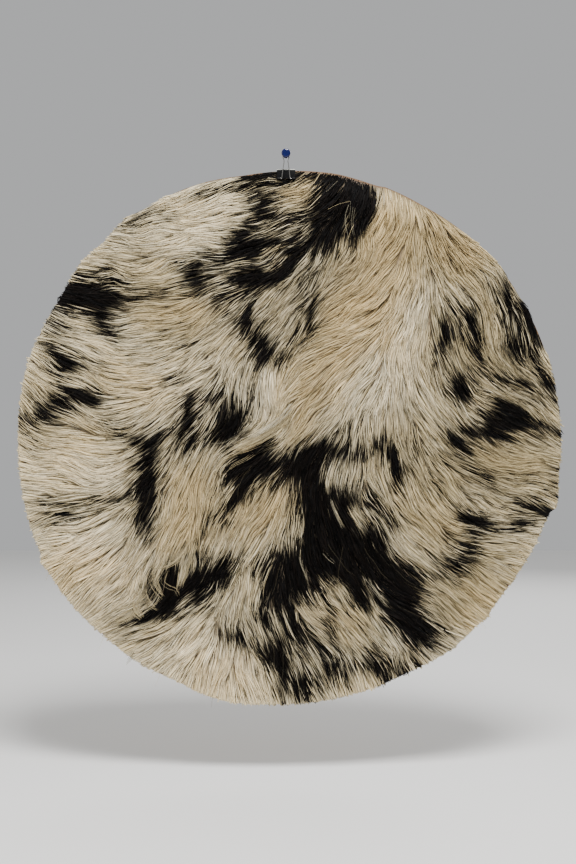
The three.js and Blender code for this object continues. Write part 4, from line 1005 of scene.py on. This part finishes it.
def strand_colours(path, guide, layer):
    """Colours along each strand, and how black each of its points is."""
    count = len(path)
    share = blackness(path[..., 0], path[..., 1])
    luck = np.where(rng.uniform(0, 1, count) < LOCK_SHARE, GUIDE_LUCK[guide], rng.uniform(0, 1, count))
    step = 0.7 * share + 0.3 * share[:, 1:].mean(axis=1, keepdims=True) - 0.05 - 0.83 * luck[:, None]
    dark = np.clip(0.5 + step / TURN_WIDTH, 0, 1)[..., None]
    x, z = (path[:, 2] * 0.6 + path[:, 3] * 0.4).T
    warm = daub_cover(WARM, x, z, 30) * 0.6 + 0.1 * GUIDE_TINT[guide]
    grey = np.maximum(daub_cover(GREY, x, z, 14), 1.1 * share[:, 2]) * rng.uniform(0, 1, count) ** 0.7
    # Painted light and shade: whiter, brighter hair in the lit places and duller hair in the shaded ones.
    lit = daub_cover(PAINTED_LIGHT, x, z, 40) - daub_cover(PAINTED_SHADE, x, z, 50)
    white = np.clip(0.4 + 0.3 * lit - warm * 0.6 + 0.2 * rng.normal(0, 1, count), 0, 1)[:, None]
    warm = np.clip(warm + 0.12 * rng.normal(0, 1, count), 0, 1)[:, None]
    grey = np.clip(grey, 0, 1)[:, None] * 0.7
    pale = CREAM * (1 - white) + WHITE * white
    pale = pale * (1 - warm) + TAN * warm
    pale = pale * (1 - grey) + ASH * grey
    black = JET + (UMBER - JET) * rng.uniform(0, 1, (count, 1)) ** 2
    base = pale[:, None] * (1 - dark) + black[:, None] * dark
    # Besides each lock's own tone, the brightness carries painted light and shade: the lit and dull places,
    # strands lying low in the coat drawn darker, and each strand drawn darker at its root.
    bright = np.exp(rng.normal(-0.05, 0.1, count) + 0.07 * GUIDE_TINT[guide] + 0.22 * lit)
    bright = bright * (0.5 + 0.52 * layer)
    along = np.minimum(1, np.array(FREE_STATIONS) / SHADED_PART)
    colour = base * (bright[:, None] * (ROOT_SHADE + (1 - ROOT_SHADE) * along))[..., None]
    return np.concatenate([colour, np.ones((count, SEGMENTS + 1, 1))], axis=-1), dark


# %% [markdown]
# Real hairs stand far closer than meshes can hold, so each strand stands for a small tuft. The roots
# lie on a jittered grid, with a finer row along the rim wherever the hair doesn't point outwards,
# because the edge would be bare there. From top to bottom the strands are dealt out to five
# meshes, so that none grows too large to be exported whole.

# %% Coat in five pieces
RIM_SPACING, RIM_BAND = 1.3, 6.0
OUTWARD = 0.25 * 280  # below this, the hair runs along the rim or away from it

root_x, root_z = jittered_points(STRAND_SPACING, 0.4)
band_x, band_z = jittered_points(RIM_SPACING, 0.3)
near_rim = np.hypot(band_x, band_z) > around(RIM, band_x, band_z) - RIM_BAND
inward = (flow(band_x, band_z) * np.stack([band_x, band_z], axis=-1)).sum(axis=-1) < OUTWARD
root_x = np.append(root_x, band_x[near_rim & inward])
root_z = np.append(root_z, band_z[near_rim & inward])
paths, heights, owners, layers, tapers = strand_paths(root_x, root_z)
colours, is_black = strand_colours(paths, owners, layers)
tapers = tapers * (rng.uniform(0.45, 0.9, len(root_x)) + 0.45 * (1 - layers))[:, None]
PIECES = ("coat_top", "coat_upper_middle", "coat_middle", "coat_lower_middle", "coat_bottom")
bands = np.array_split(np.argsort(-root_z, kind="stable"), len(PIECES))
coats = [
    spear_mesh(name, paths[band], heights[band], tapers[band], colours[band])
    for name, band in zip(PIECES, bands)
]
print(len(root_x), "strands,", sum(len(coat.data.polygons) for coat in coats), "triangles")
print("share of black strands", round(float(is_black.mean()), 2))

# %% [markdown]
# A few locks don't lie with the rest. The longest sweeps in a curl over the black fork in the middle,
# others curl at the lower left, and some white hairs cross the black. Each is given as a route of a
# few places, with its number of hairs, and its half width where it starts. The hairs spread about the
# route and draw together towards its end. A single long hair is a lock of one, and more stray hairs
# are strewn over the coat along the guide lines.

# %% Loose locks
Lock = namedtuple("Lock", "hairs half_width shade route")
LOCKS = [
    Lock(50, 8, CREAM, ((2, 26), (-12, 13), (-28, 2), (-44, -7), (-60, -13))),
    Lock(16, 4, WHITE, ((4, 34), (-8, 20), (-24, 8), (-42, -2), (-60, -8))),
    Lock(16, 5, TAN, ((-14, 8), (-28, -3), (-42, -11), (-56, -17))),
    Lock(3, 4, CREAM, ((-38, -16), (-48, -23), (-58, -28), (-63, -34))),
    Lock(10, 5, CREAM, ((-100, -96), (-106, -112), (-115, -125), (-127, -133), (-141, -138))),
    Lock(9, 8, CREAM, ((-141, -128), (-142, -145), (-137, -158), (-127, -168))),
    Lock(7, 8, CREAM, ((-148, -145), (-148, -160), (-142, -172), (-134, -178))),
    Lock(12, 8, CREAM, ((-104, -118), (-108, -140), (-113, -160))),
    Lock(3, 3, CREAM, ((-128, -138), (-131, -150), (-124, -156), (-118, -158), (-114, -165))),
    Lock(18, 8, CREAM, ((-156, -158), (-158, -176), (-150, -187))),
    Lock(18, 7, CREAM, ((-156, -174), (-168, -184), (-182, -190))),
    Lock(4, 3, ASH, ((11, -122), (13, -134), (19, -148))),
    Lock(4, 3, ASH, ((44, -64), (48, -78), (56, -98))),
    Lock(5, 4, ASH, ((78, -146), (88, -158), (98, -172))),
    Lock(3, 4, ASH, ((62, 240), (58, 225), (61, 206))),
    Lock(3, 4, ASH, ((66, 238), (64, 222), (66, 206))),
    Lock(3, 4, ASH, ((36, -120), (41, -126), (47, -131))),
    Lock(1, 0, ASH, ((50, 265), (44, 259), (37, 252))),
    Lock(1, 0, CREAM, ((63, 244), (50, 240), (38, 234))),
    Lock(1, 0, ASH, ((63, 244), (63, 235), (62, 225))),
    Lock(1, 0, ASH, ((75, 267), (76, 255))),
    Lock(1, 0, ASH, ((23, -167), (35, -160), (47, -146))),
    Lock(2, 1, ASH, ((-60, -1), (-68, -6), (-82, -7))),
    Lock(2, 1, WHITE, ((-246, -132), (-247, -140), (-250, -148))),
    Lock(1, 0, WHITE, ((-188, -200), (-192, -210), (-196, -220))),
    Lock(1, 0, WHITE, ((-131, -240), (-134, -247), (-138, -257))),
    Lock(1, 0, ASH, ((-79, -264), (-80, -278))),
    Lock(6, 6, ASH, ((-158, -220), (-163, -227), (-168, -234))),
    Lock(3, 3, WHITE, ((192, -188), (202, -198))),
]
LOCK_STATIONS = 8
FEW_HAIRS = 4  # locks with fewer are thin and run the whole of their route
THIN_HAIR, THICK_HAIR = 0.3, 0.5
STRAY_HAIRS = 150
STRAY_TURN = 16.0  # degrees off the lie of the coat


def smooth_route(points, steps=8):
    """A curve that passes through every point, its slope at each set by the points beside it."""
    p = np.array([points[0], *points, points[-1]], float)
    out = []
    for a, b, c, d in zip(p, p[1:], p[2:], p[3:]):
        for t in np.linspace(0, 1, steps, endpoint=False):
            cubic = (2 * a - 5 * b + 4 * c - d) * t**2 + (3 * b - a - 3 * c + d) * t**3
            out.append(0.5 * (2 * b + (c - a) * t + cubic))
    return out + [p[-1]]


def lock_hairs(lock):
    """Routes, heights, widths and colours of one lock's hairs."""
    line = np.array(smooth_route(lock.route))
    spaced = np.linspace(0, 1, LOCK_STATIONS + 1)
    way = np.gradient(line, axis=0)
    way /= np.maximum(np.linalg.norm(way, axis=1, keepdims=True), 1e-6)
    side = np.stack([way[:, 1], -way[:, 0]], axis=-1)
    ends = np.stack([rng.uniform(0, 0.4, lock.hairs), rng.uniform(0.62, 1, lock.hairs)])
    if lock.hairs < FEW_HAIRS:
        ends = np.stack([np.zeros(lock.hairs), np.ones(lock.hairs)])
    at = (ends[0][:, None] + (ends[1] - ends[0])[:, None] * spaced) * (len(line) - 1)
    place = np.stack([np.interp(at, range(len(line)), line[:, i]) for i in (0, 1)], axis=-1)
    aside = np.stack([np.interp(at, range(len(line)), side[:, i]) for i in (0, 1)], axis=-1)
    spread = np.clip(rng.normal(0, 0.55, lock.hairs), -1, 1)[:, None] * lock.half_width * (1 - 0.5 * spaced)
    path = place + aside * spread[..., None]
    lift = coat_depth(path[..., 0], path[..., 1]) * (0.6 + 0.4 * spaced**0.5)
    height = lift + rng.uniform(0.2, 1.6, (lock.hairs, 1)) * (0.4 + 0.6 * spaced)
    # Painted shade: each hair is drawn darker towards its start.
    bright = np.exp(rng.normal(-0.2, 0.16, (lock.hairs, 1))) * (0.7 + 0.3 * spaced)
    greyed = rng.uniform(0, 0.6, (lock.hairs, 1))
    colour = (lock.shade * (1 - greyed) + ASH * greyed)[:, None] * bright[..., None]
    width = THIN_HAIR if lock.hairs < FEW_HAIRS else THICK_HAIR
    taper = width * (1 - 0.45 * spaced[:-1]) * np.ones((lock.hairs, 1))
    return path, height, taper, np.concatenate([colour, np.ones((*at.shape, 1))], axis=-1)


def stray_hairs(count):
    """Single long hairs that lie over the coat, a little across its lie."""
    x, z = GUIDES[:, 0].T
    inner = np.flatnonzero(np.hypot(x, z) < around(RIM, x, z) - 50)
    chosen = rng.choice(inner, count)
    spaced = np.linspace(0, 1, LOCK_STATIONS + 1)
    path = guide_at(chosen, rng.uniform(6, GUIDE_STEPS - 1, (count, 1)) * spaced)
    astray = np.radians(rng.normal(0, STRAY_TURN, (count, 1)))
    shift = path - path[:, :1]
    path = path[:, :1] + np.stack([
        shift[..., 0] * np.cos(astray) - shift[..., 1] * np.sin(astray),
        shift[..., 0] * np.sin(astray) + shift[..., 1] * np.cos(astray),
    ], axis=-1)
    lift = coat_depth(path[..., 0], path[..., 1]) * (0.7 + 0.3 * spaced**0.5)
    height = lift + rng.uniform(0.4, 1.6, (count, 1)) * (0.4 + 0.6 * spaced)
    shade = rng.uniform(0, 1, (count, 1))
    # Painted shade: each hair is drawn darker towards its root. It is also dimmer over black hair.
    seen = (0.7 + 0.3 * spaced) * (1 - 0.85 * blackness(path[..., 0], path[..., 1]))
    colour = (ASH * (1 - shade) + CREAM * shade)[:, None] * seen[..., None]
    taper = 0.28 * (1 - 0.4 * spaced[:-1]) * np.ones((count, 1))
    return path, height, taper, np.concatenate([colour, np.ones((count, LOCK_STATIONS + 1, 1))], axis=-1)


loose = [lock_hairs(lock) for lock in LOCKS] + [stray_hairs(STRAY_HAIRS)]
lock_parts = [np.concatenate(arrays) for arrays in zip(*loose)]
coats.append(spear_mesh("loose_locks", *lock_parts))
print(len(lock_parts[0]), "hairs in loose locks")

# %% [markdown]
# The hair material reads the strands' colour. A little roughness and a faint, broad shine are
# enough, because the shape of the strands already gives the light its streaks. The flesh side of
# a dried hide is tan and blotchy, with loose fibres and fine creases, and the skin under black
# hair is greyer. Noises and a cell pattern on Object coordinates give the first three, and fields
# stored on the hide tell where it is pigmented, cut through or on the hair side, which is painted
# dark brown as the shade under the coat.

# %% Materials of the skin
def set_inputs(tree, made, inputs):
    """Gives each input a value, or links it to another node's output."""
    for socket, value in inputs.items():
        if isinstance(value, bpy.types.NodeSocket):
            tree.links.new(value, made.inputs[socket])
        else:
            made.inputs[socket].default_value = value


def node(tree, kind, inputs, **settings):
    """Adds a node with its inputs. The settings come first, because some of them change the inputs."""
    made = tree.nodes.new(kind)
    for name, value in settings.items():
        setattr(made, name, value)
    set_inputs(tree, made, inputs)
    return made


def start_material(name):
    material = bpy.data.materials.new(name)
    material.use_nodes = True
    tree = material.node_tree
    return material, tree, tree.nodes["Principled BSDF"]


def object_place(tree):
    return node(tree, "ShaderNodeTexCoord", {}).outputs["Object"]


def noise(tree, place, scale, detail=2.0, roughness=0.5):
    return node(tree, "ShaderNodeTexNoise", {
        "Vector": place, "Scale": scale, "Detail": detail, "Roughness": roughness,
    })


def map_range(tree, value, start=(0.0, 1.0), end=(0.0, 1.0)):
    """The value, moved from one range of numbers to another."""
    return node(tree, "ShaderNodeMapRange", {
        "Value": value, "From Min": start[0], "From Max": start[1], "To Min": end[0], "To Max": end[1],
    }).outputs["Result"]


def tinted(tree, first, amount, strength, second):
    """The first colour, mixed with the second where the amount is high."""
    share = node(tree, "ShaderNodeMath", {0: amount, 1: strength}, operation="MULTIPLY")
    mix = node(tree, "ShaderNodeMix", {
        "Factor": share.outputs[0], 6: first, 7: (*second, 1),
    }, data_type="RGBA")
    return mix.outputs[2]


def hair_material():
    material, tree, shader = start_material("goat hair")
    colour = node(tree, "ShaderNodeAttribute", {}, attribute_name="hair_colour")
    set_inputs(tree, shader, {
        "Base Color": colour.outputs["Color"], "Roughness": 0.58, "Specular IOR Level": 0.12,
    })
    return material


FLESH_DARK, FLESH_PALE = linear("A98A5C"), linear("DCC79C")
FIBRE, CREASE, PIGMENT = linear("856539"), linear("806038"), linear("5C554C")
PAINTED_SHADE_UNDER_HAIR, CUT_EDGE = linear("3A3026"), linear("5A3A16")


def flesh_tone(tree, place):
    """Blotches of darker and paler tan."""
    tone = node(tree, "ShaderNodeValToRGB", {"Fac": noise(tree, place, 14, 6, 0.6).outputs["Fac"]})
    stops = tone.color_ramp.elements
    stops[0].position, stops[0].color = 0.34, (*FLESH_DARK, 1)
    stops[1].position, stops[1].color = 0.68, (*FLESH_PALE, 1)
    return tone.outputs["Color"]


def creases(tree, place):
    """High along the crooked borders of large cells."""
    bent = node(tree, "ShaderNodeMix", {
        "Factor": 0.09, 6: place, 7: noise(tree, place, 30, 5).outputs["Color"],
    }, data_type="RGBA", blend_type="LINEAR_LIGHT")
    cells = node(tree, "ShaderNodeTexVoronoi", {
        "Vector": bent.outputs[2], "Scale": 17,
    }, feature="DISTANCE_TO_EDGE")
    return map_range(tree, cells.outputs["Distance"], (0.0, 0.05), (1.0, 0.0))


def rawhide_material():
    """Dried hide: tan and blotchy on the flesh side, brown at the cut edge, greyer under black hair, and dark
    on the hair side as painted shade under the coat.
    """
    material, tree, shader = start_material("rawhide")
    place = object_place(tree)
    fibres = map_range(tree, noise(tree, place, 55, 8, 0.7).outputs["Fac"], (0.45, 0.75))
    colour = tinted(tree, flesh_tone(tree, place), fibres, 0.75, FIBRE)
    colour = tinted(tree, colour, creases(tree, place), 0.5, CREASE)
    # The hair side is painted dark as the shade under the coat. The pigment and the cut edge are the hide's
    # own colour.
    for field, strength, shade in (
        ("pigment", 0.5, PIGMENT), ("hair_side", 0.6, PAINTED_SHADE_UNDER_HAIR), ("cut_edge", 0.9, CUT_EDGE),
    ):
        amount = node(tree, "ShaderNodeAttribute", {}, attribute_name=field).outputs["Fac"]
        colour = tinted(tree, colour, amount, strength, shade)
    bump = node(tree, "ShaderNodeBump", {
        "Strength": 0.35, "Distance": 0.0004, "Height": noise(tree, place, 220, 4).outputs["Fac"],
    })
    set_inputs(tree, shader, {
        "Base Color": colour, "Roughness": 0.55, "Normal": bump.outputs["Normal"],
    })
    return material


hair = hair_material()
for coat in coats:
    coat.data.materials.append(hair)
    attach(coat, "root")
hide.data.materials.append(rawhide_material())
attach(hide, "root")
print("skin finished:", len(coats), "pieces of hair and the hide")

# %% [markdown]
# The binder clip is one strip of spring steel: a spine, two cheeks that close on the skin, and lips
# rolled outwards to hold the wire handles. A bent line of points is the strip seen from its end. It
# is extruded across in three steps, the lips are cut away in the middle step, and a Solidify
# modifier gives the steel its thickness.

# %% Clip
STEEL = 0.45  # thickness
CLIP_MIDDLE_Y, SPINE_Z, SPINE_DEPTH = -4.8, -14.0, 7.4
LIP_Z, LIP_GAP, ROLL = -23.8, 2.0, 1.25  # axis of the rolls, half their gap, and their radius
CLIP_WIDTH, NOTCH_HALF, NOTCH_RISE = 19.0, 5.6, 1.4
CORNER = 0.9  # radius of the bend beside the spine


def arc(centre, radius, start, end, steps):
    turns = np.radians(np.linspace(start, end, steps))
    return [(centre[0] + radius * math.cos(a), centre[1] + radius * math.sin(a)) for a in turns]


def clip_section():
    """The strip from the spine's middle to the end of one rolled lip, as (outwards, up)."""
    line = ROLL - STEEL / 2
    top = SPINE_Z - STEEL / 2
    cheek = SPINE_DEPTH / 2 - STEEL / 2
    bend = arc((cheek - CORNER, top - CORNER), CORNER, 90, 8, 6)
    roll = arc((LIP_GAP + ROLL, LIP_Z), line, 180, 480, 20)
    return [(0, top)] + bend + roll


def piece_from(bm, name, sharp_angle):
    """A smooth piece with sharp edges where its faces meet at more than an angle in degrees."""
    mesh = bpy.data.meshes.new(name)
    bm.to_mesh(mesh)
    bm.free()
    mesh.shade_smooth()
    mesh.set_sharp_from_angle(angle=math.radians(sharp_angle))
    return piece_of(mesh)


def of_kind(geometry, kind):
    return [item for item in geometry if isinstance(item, kind)]


def make_clip():
    half = clip_section()
    line = [(-s, z) for s, z in reversed(half[1:])] + half
    bm = bmesh.new()
    start = -CLIP_WIDTH / 2
    row = [bm.verts.new((start * MM, (CLIP_MIDDLE_Y - s) * MM, z * MM)) for s, z in line]
    edges = [bm.edges.new(pair) for pair in zip(row, row[1:])]
    for stop in (-NOTCH_HALF, NOTCH_HALF, CLIP_WIDTH / 2):
        made = bmesh.ops.extrude_edge_only(bm, edges=edges)["geom"]
        moved = of_kind(made, bmesh.types.BMVert)
        bmesh.ops.translate(bm, verts=moved, vec=((stop - start) * MM, 0, 0))
        far_edges = of_kind(made, bmesh.types.BMEdge)
        edges = [edge for edge in far_edges if all(vertex in moved for vertex in edge.verts)]
        start = stop
    lips = [
        face for face in bm.faces
        if abs(face.calc_center_median().x) < NOTCH_HALF * MM / 2
        and face.calc_center_median().z < (LIP_Z + NOTCH_RISE) * MM
    ]
    bmesh.ops.delete(bm, geom=lips, context="FACES")
    bmesh.ops.recalc_face_normals(bm, faces=bm.faces)
    clip = piece_from(bm, "clip", 40)
    thickness = clip.modifiers.new("steel", "SOLIDIFY")
    thickness.thickness, thickness.offset = STEEL * MM, 0
    edge = clip.modifiers.new("edges", "BEVEL")
    edge.width, edge.segments, edge.limit_method = 0.08 * MM, 2, "ANGLE"
    return clip


clip = make_clip()
print("clip", len(clip.data.polygons), "faces before its modifiers")

# %% [markdown]
# Each handle is one bent wire: a foot in the lip, a leg, a round eye and the same back again. The
# route is a smooth curve through a few points, and the curve is given a round section and turned
# into a mesh. The front handle leans over the spine, and the back one hangs straight down.

# %% Handles
WIRE = 0.45  # radius
EYE, EYE_TOP = 3.2, 25.4  # radius of the eye's middle line, and its height over the lip
CLEARANCE = 0.3  # between the front wire and the spine's corner
ROLL_OFFSET = LIP_GAP + ROLL
FRONT_LEAN = math.atan2(SPINE_DEPTH / 2 + CLEARANCE + WIRE - ROLL_OFFSET, SPINE_Z - LIP_Z)


def handle_route():
    """The wire's middle line from foot to foot, as (across, away from the lip)."""
    side = [(8.6, 0), (5.9, 0), (4.8, 0.12), (4.3, 0.95), (3.2, 9.2), (2.15, 16.4), (2.1, 18.4)]
    eye = arc((0, EYE_TOP - EYE), EYE, -20, 90, 9)
    half = side + eye
    return half + [(-x, v) for x, v in reversed(half[:-1])]


def make_handle(name, turn, y):
    route = smooth_route(handle_route(), 5)
    curve = bpy.data.curves.new(name, "CURVE")
    curve.dimensions, curve.use_fill_caps = "3D", True
    curve.bevel_depth, curve.bevel_resolution = WIRE * MM, 3
    spline = curve.splines.new("POLY")
    spline.points.add(len(route) - 1)
    for point, (x, v) in zip(spline.points, route):
        point.co = (x * MM, 0, v * MM, 1)
    source = bpy.data.objects.new(name, curve)
    mesh = bpy.data.meshes.new_from_object(source)
    bpy.data.objects.remove(source)
    mesh.transform(Matrix.Translation((0, y * MM, LIP_Z * MM)) @ Matrix.Rotation(turn, 4, "X"))
    mesh.shade_smooth()
    mesh.name = name
    return piece_of(mesh)


front_handle = make_handle("handle_front", FRONT_LEAN, CLIP_MIDDLE_Y - ROLL_OFFSET)
back_handle = make_handle("handle_back", math.pi, CLIP_MIDDLE_Y + ROLL_OFFSET)
print("front handle leans", round(math.degrees(FRONT_LEAN), 1), "degrees")

# %% [markdown]
# Both parts of the push pin are round, so each is a profile spun round the needle's axis. The head
# has a bore, in which the needle's end is held.

# %% Push pin
HEAD_BACK, HEAD_LENGTH, NEEDLE, NEEDLE_TIP, NEEDLE_TAIL = -12.2, 12.0, 0.6, 3.8, -15.9
HEAD_PROFILE = (
    (0, 0), (2.4, 0), (3.1, 0.03), (3.8, 0.15), (4.35, 0.48), (4.65, 1.0), (4.7, 1.5), (4.55, 1.9),
    (4.1, 2.25), (3.4, 2.55), (2.9, 3.0), (2.65, 3.6), (2.48, 5.0), (2.38, 6.4), (2.36, 7.3),
    (2.48, 8.4), (2.8, 9.2), (3.3, 9.8), (3.7, 10.3), (3.85, 10.9), (3.8, 11.5), (3.55, 11.9),
    (3.2, 12), (0.9, 12), (0.9, 8.3), (0, 8.3),
)


def spun(name, profile, steps):
    """A profile of (radius, place along y) from axis to axis, spun round the y axis."""
    bm = bmesh.new()
    points = [bm.verts.new((radius * MM, y * MM, 0)) for radius, y in profile]
    edges = [bm.edges.new(pair) for pair in zip(points, points[1:])]
    bmesh.ops.spin(
        bm, geom=points + edges, cent=(0, 0, 0), axis=(0, 1, 0), angle=2 * math.pi,
        steps=steps, use_merge=True,
    )
    bmesh.ops.remove_doubles(bm, verts=bm.verts, dist=1e-6)
    bmesh.ops.recalc_face_normals(bm, faces=bm.faces)
    return piece_from(bm, name, 35)


def make_pin():
    front = HEAD_BACK - HEAD_LENGTH
    head = spun("push_pin_head", [(radius, front + y) for radius, y in HEAD_PROFILE], 48)
    needle_profile = (
        (0, NEEDLE_TAIL), (0.5, NEEDLE_TAIL), (NEEDLE, NEEDLE_TAIL + 0.1), (NEEDLE, 0.8),
        (0.42, 2.0), (0.2, 3.1), (0, NEEDLE_TIP),
    )
    needle = spun("push_pin_needle", needle_profile, 24)
    return head, needle


pin_head, pin_needle = make_pin()
print("pin", len(pin_head.data.polygons), "and", len(pin_needle.data.polygons), "faces")

# %% [markdown]
# The clip is black enamel on steel, with a highlight painted along the spine's rounded edge. The
# wires are nickel plated and the needle is drawn steel. A noise stretched sideways gives all three
# their fine scratches, which only change how rough the surface is. The pin's head is moulded in a
# deep clear blue, and a very dark base colour with a little light passing through comes near to it.

# %% Materials of the clip and the pin
SCRATCHES = (300, 1500, 1500)  # to the metre, so they are five times as long as wide
ENAMEL, SPINE_HIGHLIGHT = (0.002, 0.002, 0.0022), (0.42, 0.42, 0.38)
NICKEL, DRAWN_STEEL = (0.3, 0.29, 0.27), (0.55, 0.55, 0.55)
CLEAR_BLUE = (0.0004, 0.0034, 0.055)


def metal_material(name, colour, metallic, roughness, scratch):
    """Bare or enamelled steel, with its roughness spread about a mean by the scratches."""
    material, tree, shader = start_material(name)
    stretch = node(tree, "ShaderNodeMapping", {"Vector": object_place(tree), "Scale": SCRATCHES})
    marks = noise(tree, stretch.outputs["Vector"], 1.0, 3).outputs["Fac"]
    set_inputs(tree, shader, {
        "Base Color": (*colour, 1), "Metallic": metallic,
        "Roughness": map_range(tree, marks, end=(roughness - scratch, roughness + scratch)),
    })
    return material


def enamel_material():
    """Black enamel, with a highlight painted as a bright line along the spine's rounded edge."""
    material = metal_material("black enamelled steel", ENAMEL, 0.0, 0.4, 0.08)
    tree = material.node_tree
    # Painted highlight: the top of the spine is drawn bright, where its rounded edge catches the lamp.
    height = node(tree, "ShaderNodeSeparateXYZ", {"Vector": object_place(tree)}).outputs["Z"]
    painted_highlight = map_range(tree, height, ((SPINE_Z - 1.0) * MM, (SPINE_Z - 0.6) * MM))
    set_inputs(tree, tree.nodes["Principled BSDF"], {
        "Base Color": tinted(tree, (*ENAMEL, 1), painted_highlight, 1.0, SPINE_HIGHLIGHT), "Specular IOR Level": 0.12,
    })
    return material


def plastic_material():
    material, tree, shader = start_material("clear blue plastic")
    haze = noise(tree, object_place(tree), 700).outputs["Fac"]
    set_inputs(tree, shader, {
        "Base Color": (*CLEAR_BLUE, 1), "Transmission Weight": 0.15, "Specular IOR Level": 0.3,
        "Coat Weight": 0.2, "IOR": 1.49, "Roughness": map_range(tree, haze, end=(0.1, 0.24)),
    })
    return material


black_steel = enamel_material()
bright_wire = metal_material("nickel wire", NICKEL, 1.0, 0.24, 0.08)
needle_steel = metal_material("needle steel", DRAWN_STEEL, 1.0, 0.25, 0.08)
print("materials", [material.name for material in bpy.data.materials])

# %% [markdown]
# Each finer piece now takes the place of its solid. It rides on the one body that there is, names
# its finish, and hides the plain node, which stays behind for the collisions.

# %% Fit the clip and the pin
Fitting = namedtuple("Fitting", "piece material slot node")
for fitting in (
    Fitting(clip, black_steel, "black_steel", "clip_body"),
    Fitting(front_handle, bright_wire, "bright_wire", "clip_handle_front"),
    Fitting(back_handle, bright_wire, "bright_wire", "clip_handle_back"),
    Fitting(pin_head, plastic_material(), "blue_plastic", "pin_head"),
    Fitting(pin_needle, needle_steel, "needle_steel", "pin_needle"),
):
    fitting.piece.data.materials.append(fitting.material)
    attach(fitting.piece, "root")
    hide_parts(fitting.node)

print("fittings", clip.name, front_handle.name, back_handle.name, pin_head.name, pin_needle.name)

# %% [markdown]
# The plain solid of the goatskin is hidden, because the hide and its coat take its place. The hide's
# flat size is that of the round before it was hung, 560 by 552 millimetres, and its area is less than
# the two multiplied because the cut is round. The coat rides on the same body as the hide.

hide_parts("goatskin")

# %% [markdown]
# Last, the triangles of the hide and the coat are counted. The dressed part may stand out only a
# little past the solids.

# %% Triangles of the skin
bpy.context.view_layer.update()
triangles = sum(len(polygon.vertices) - 2 for piece in (*coats, hide) for polygon in piece.data.polygons)
print("triangles of the skin", triangles)
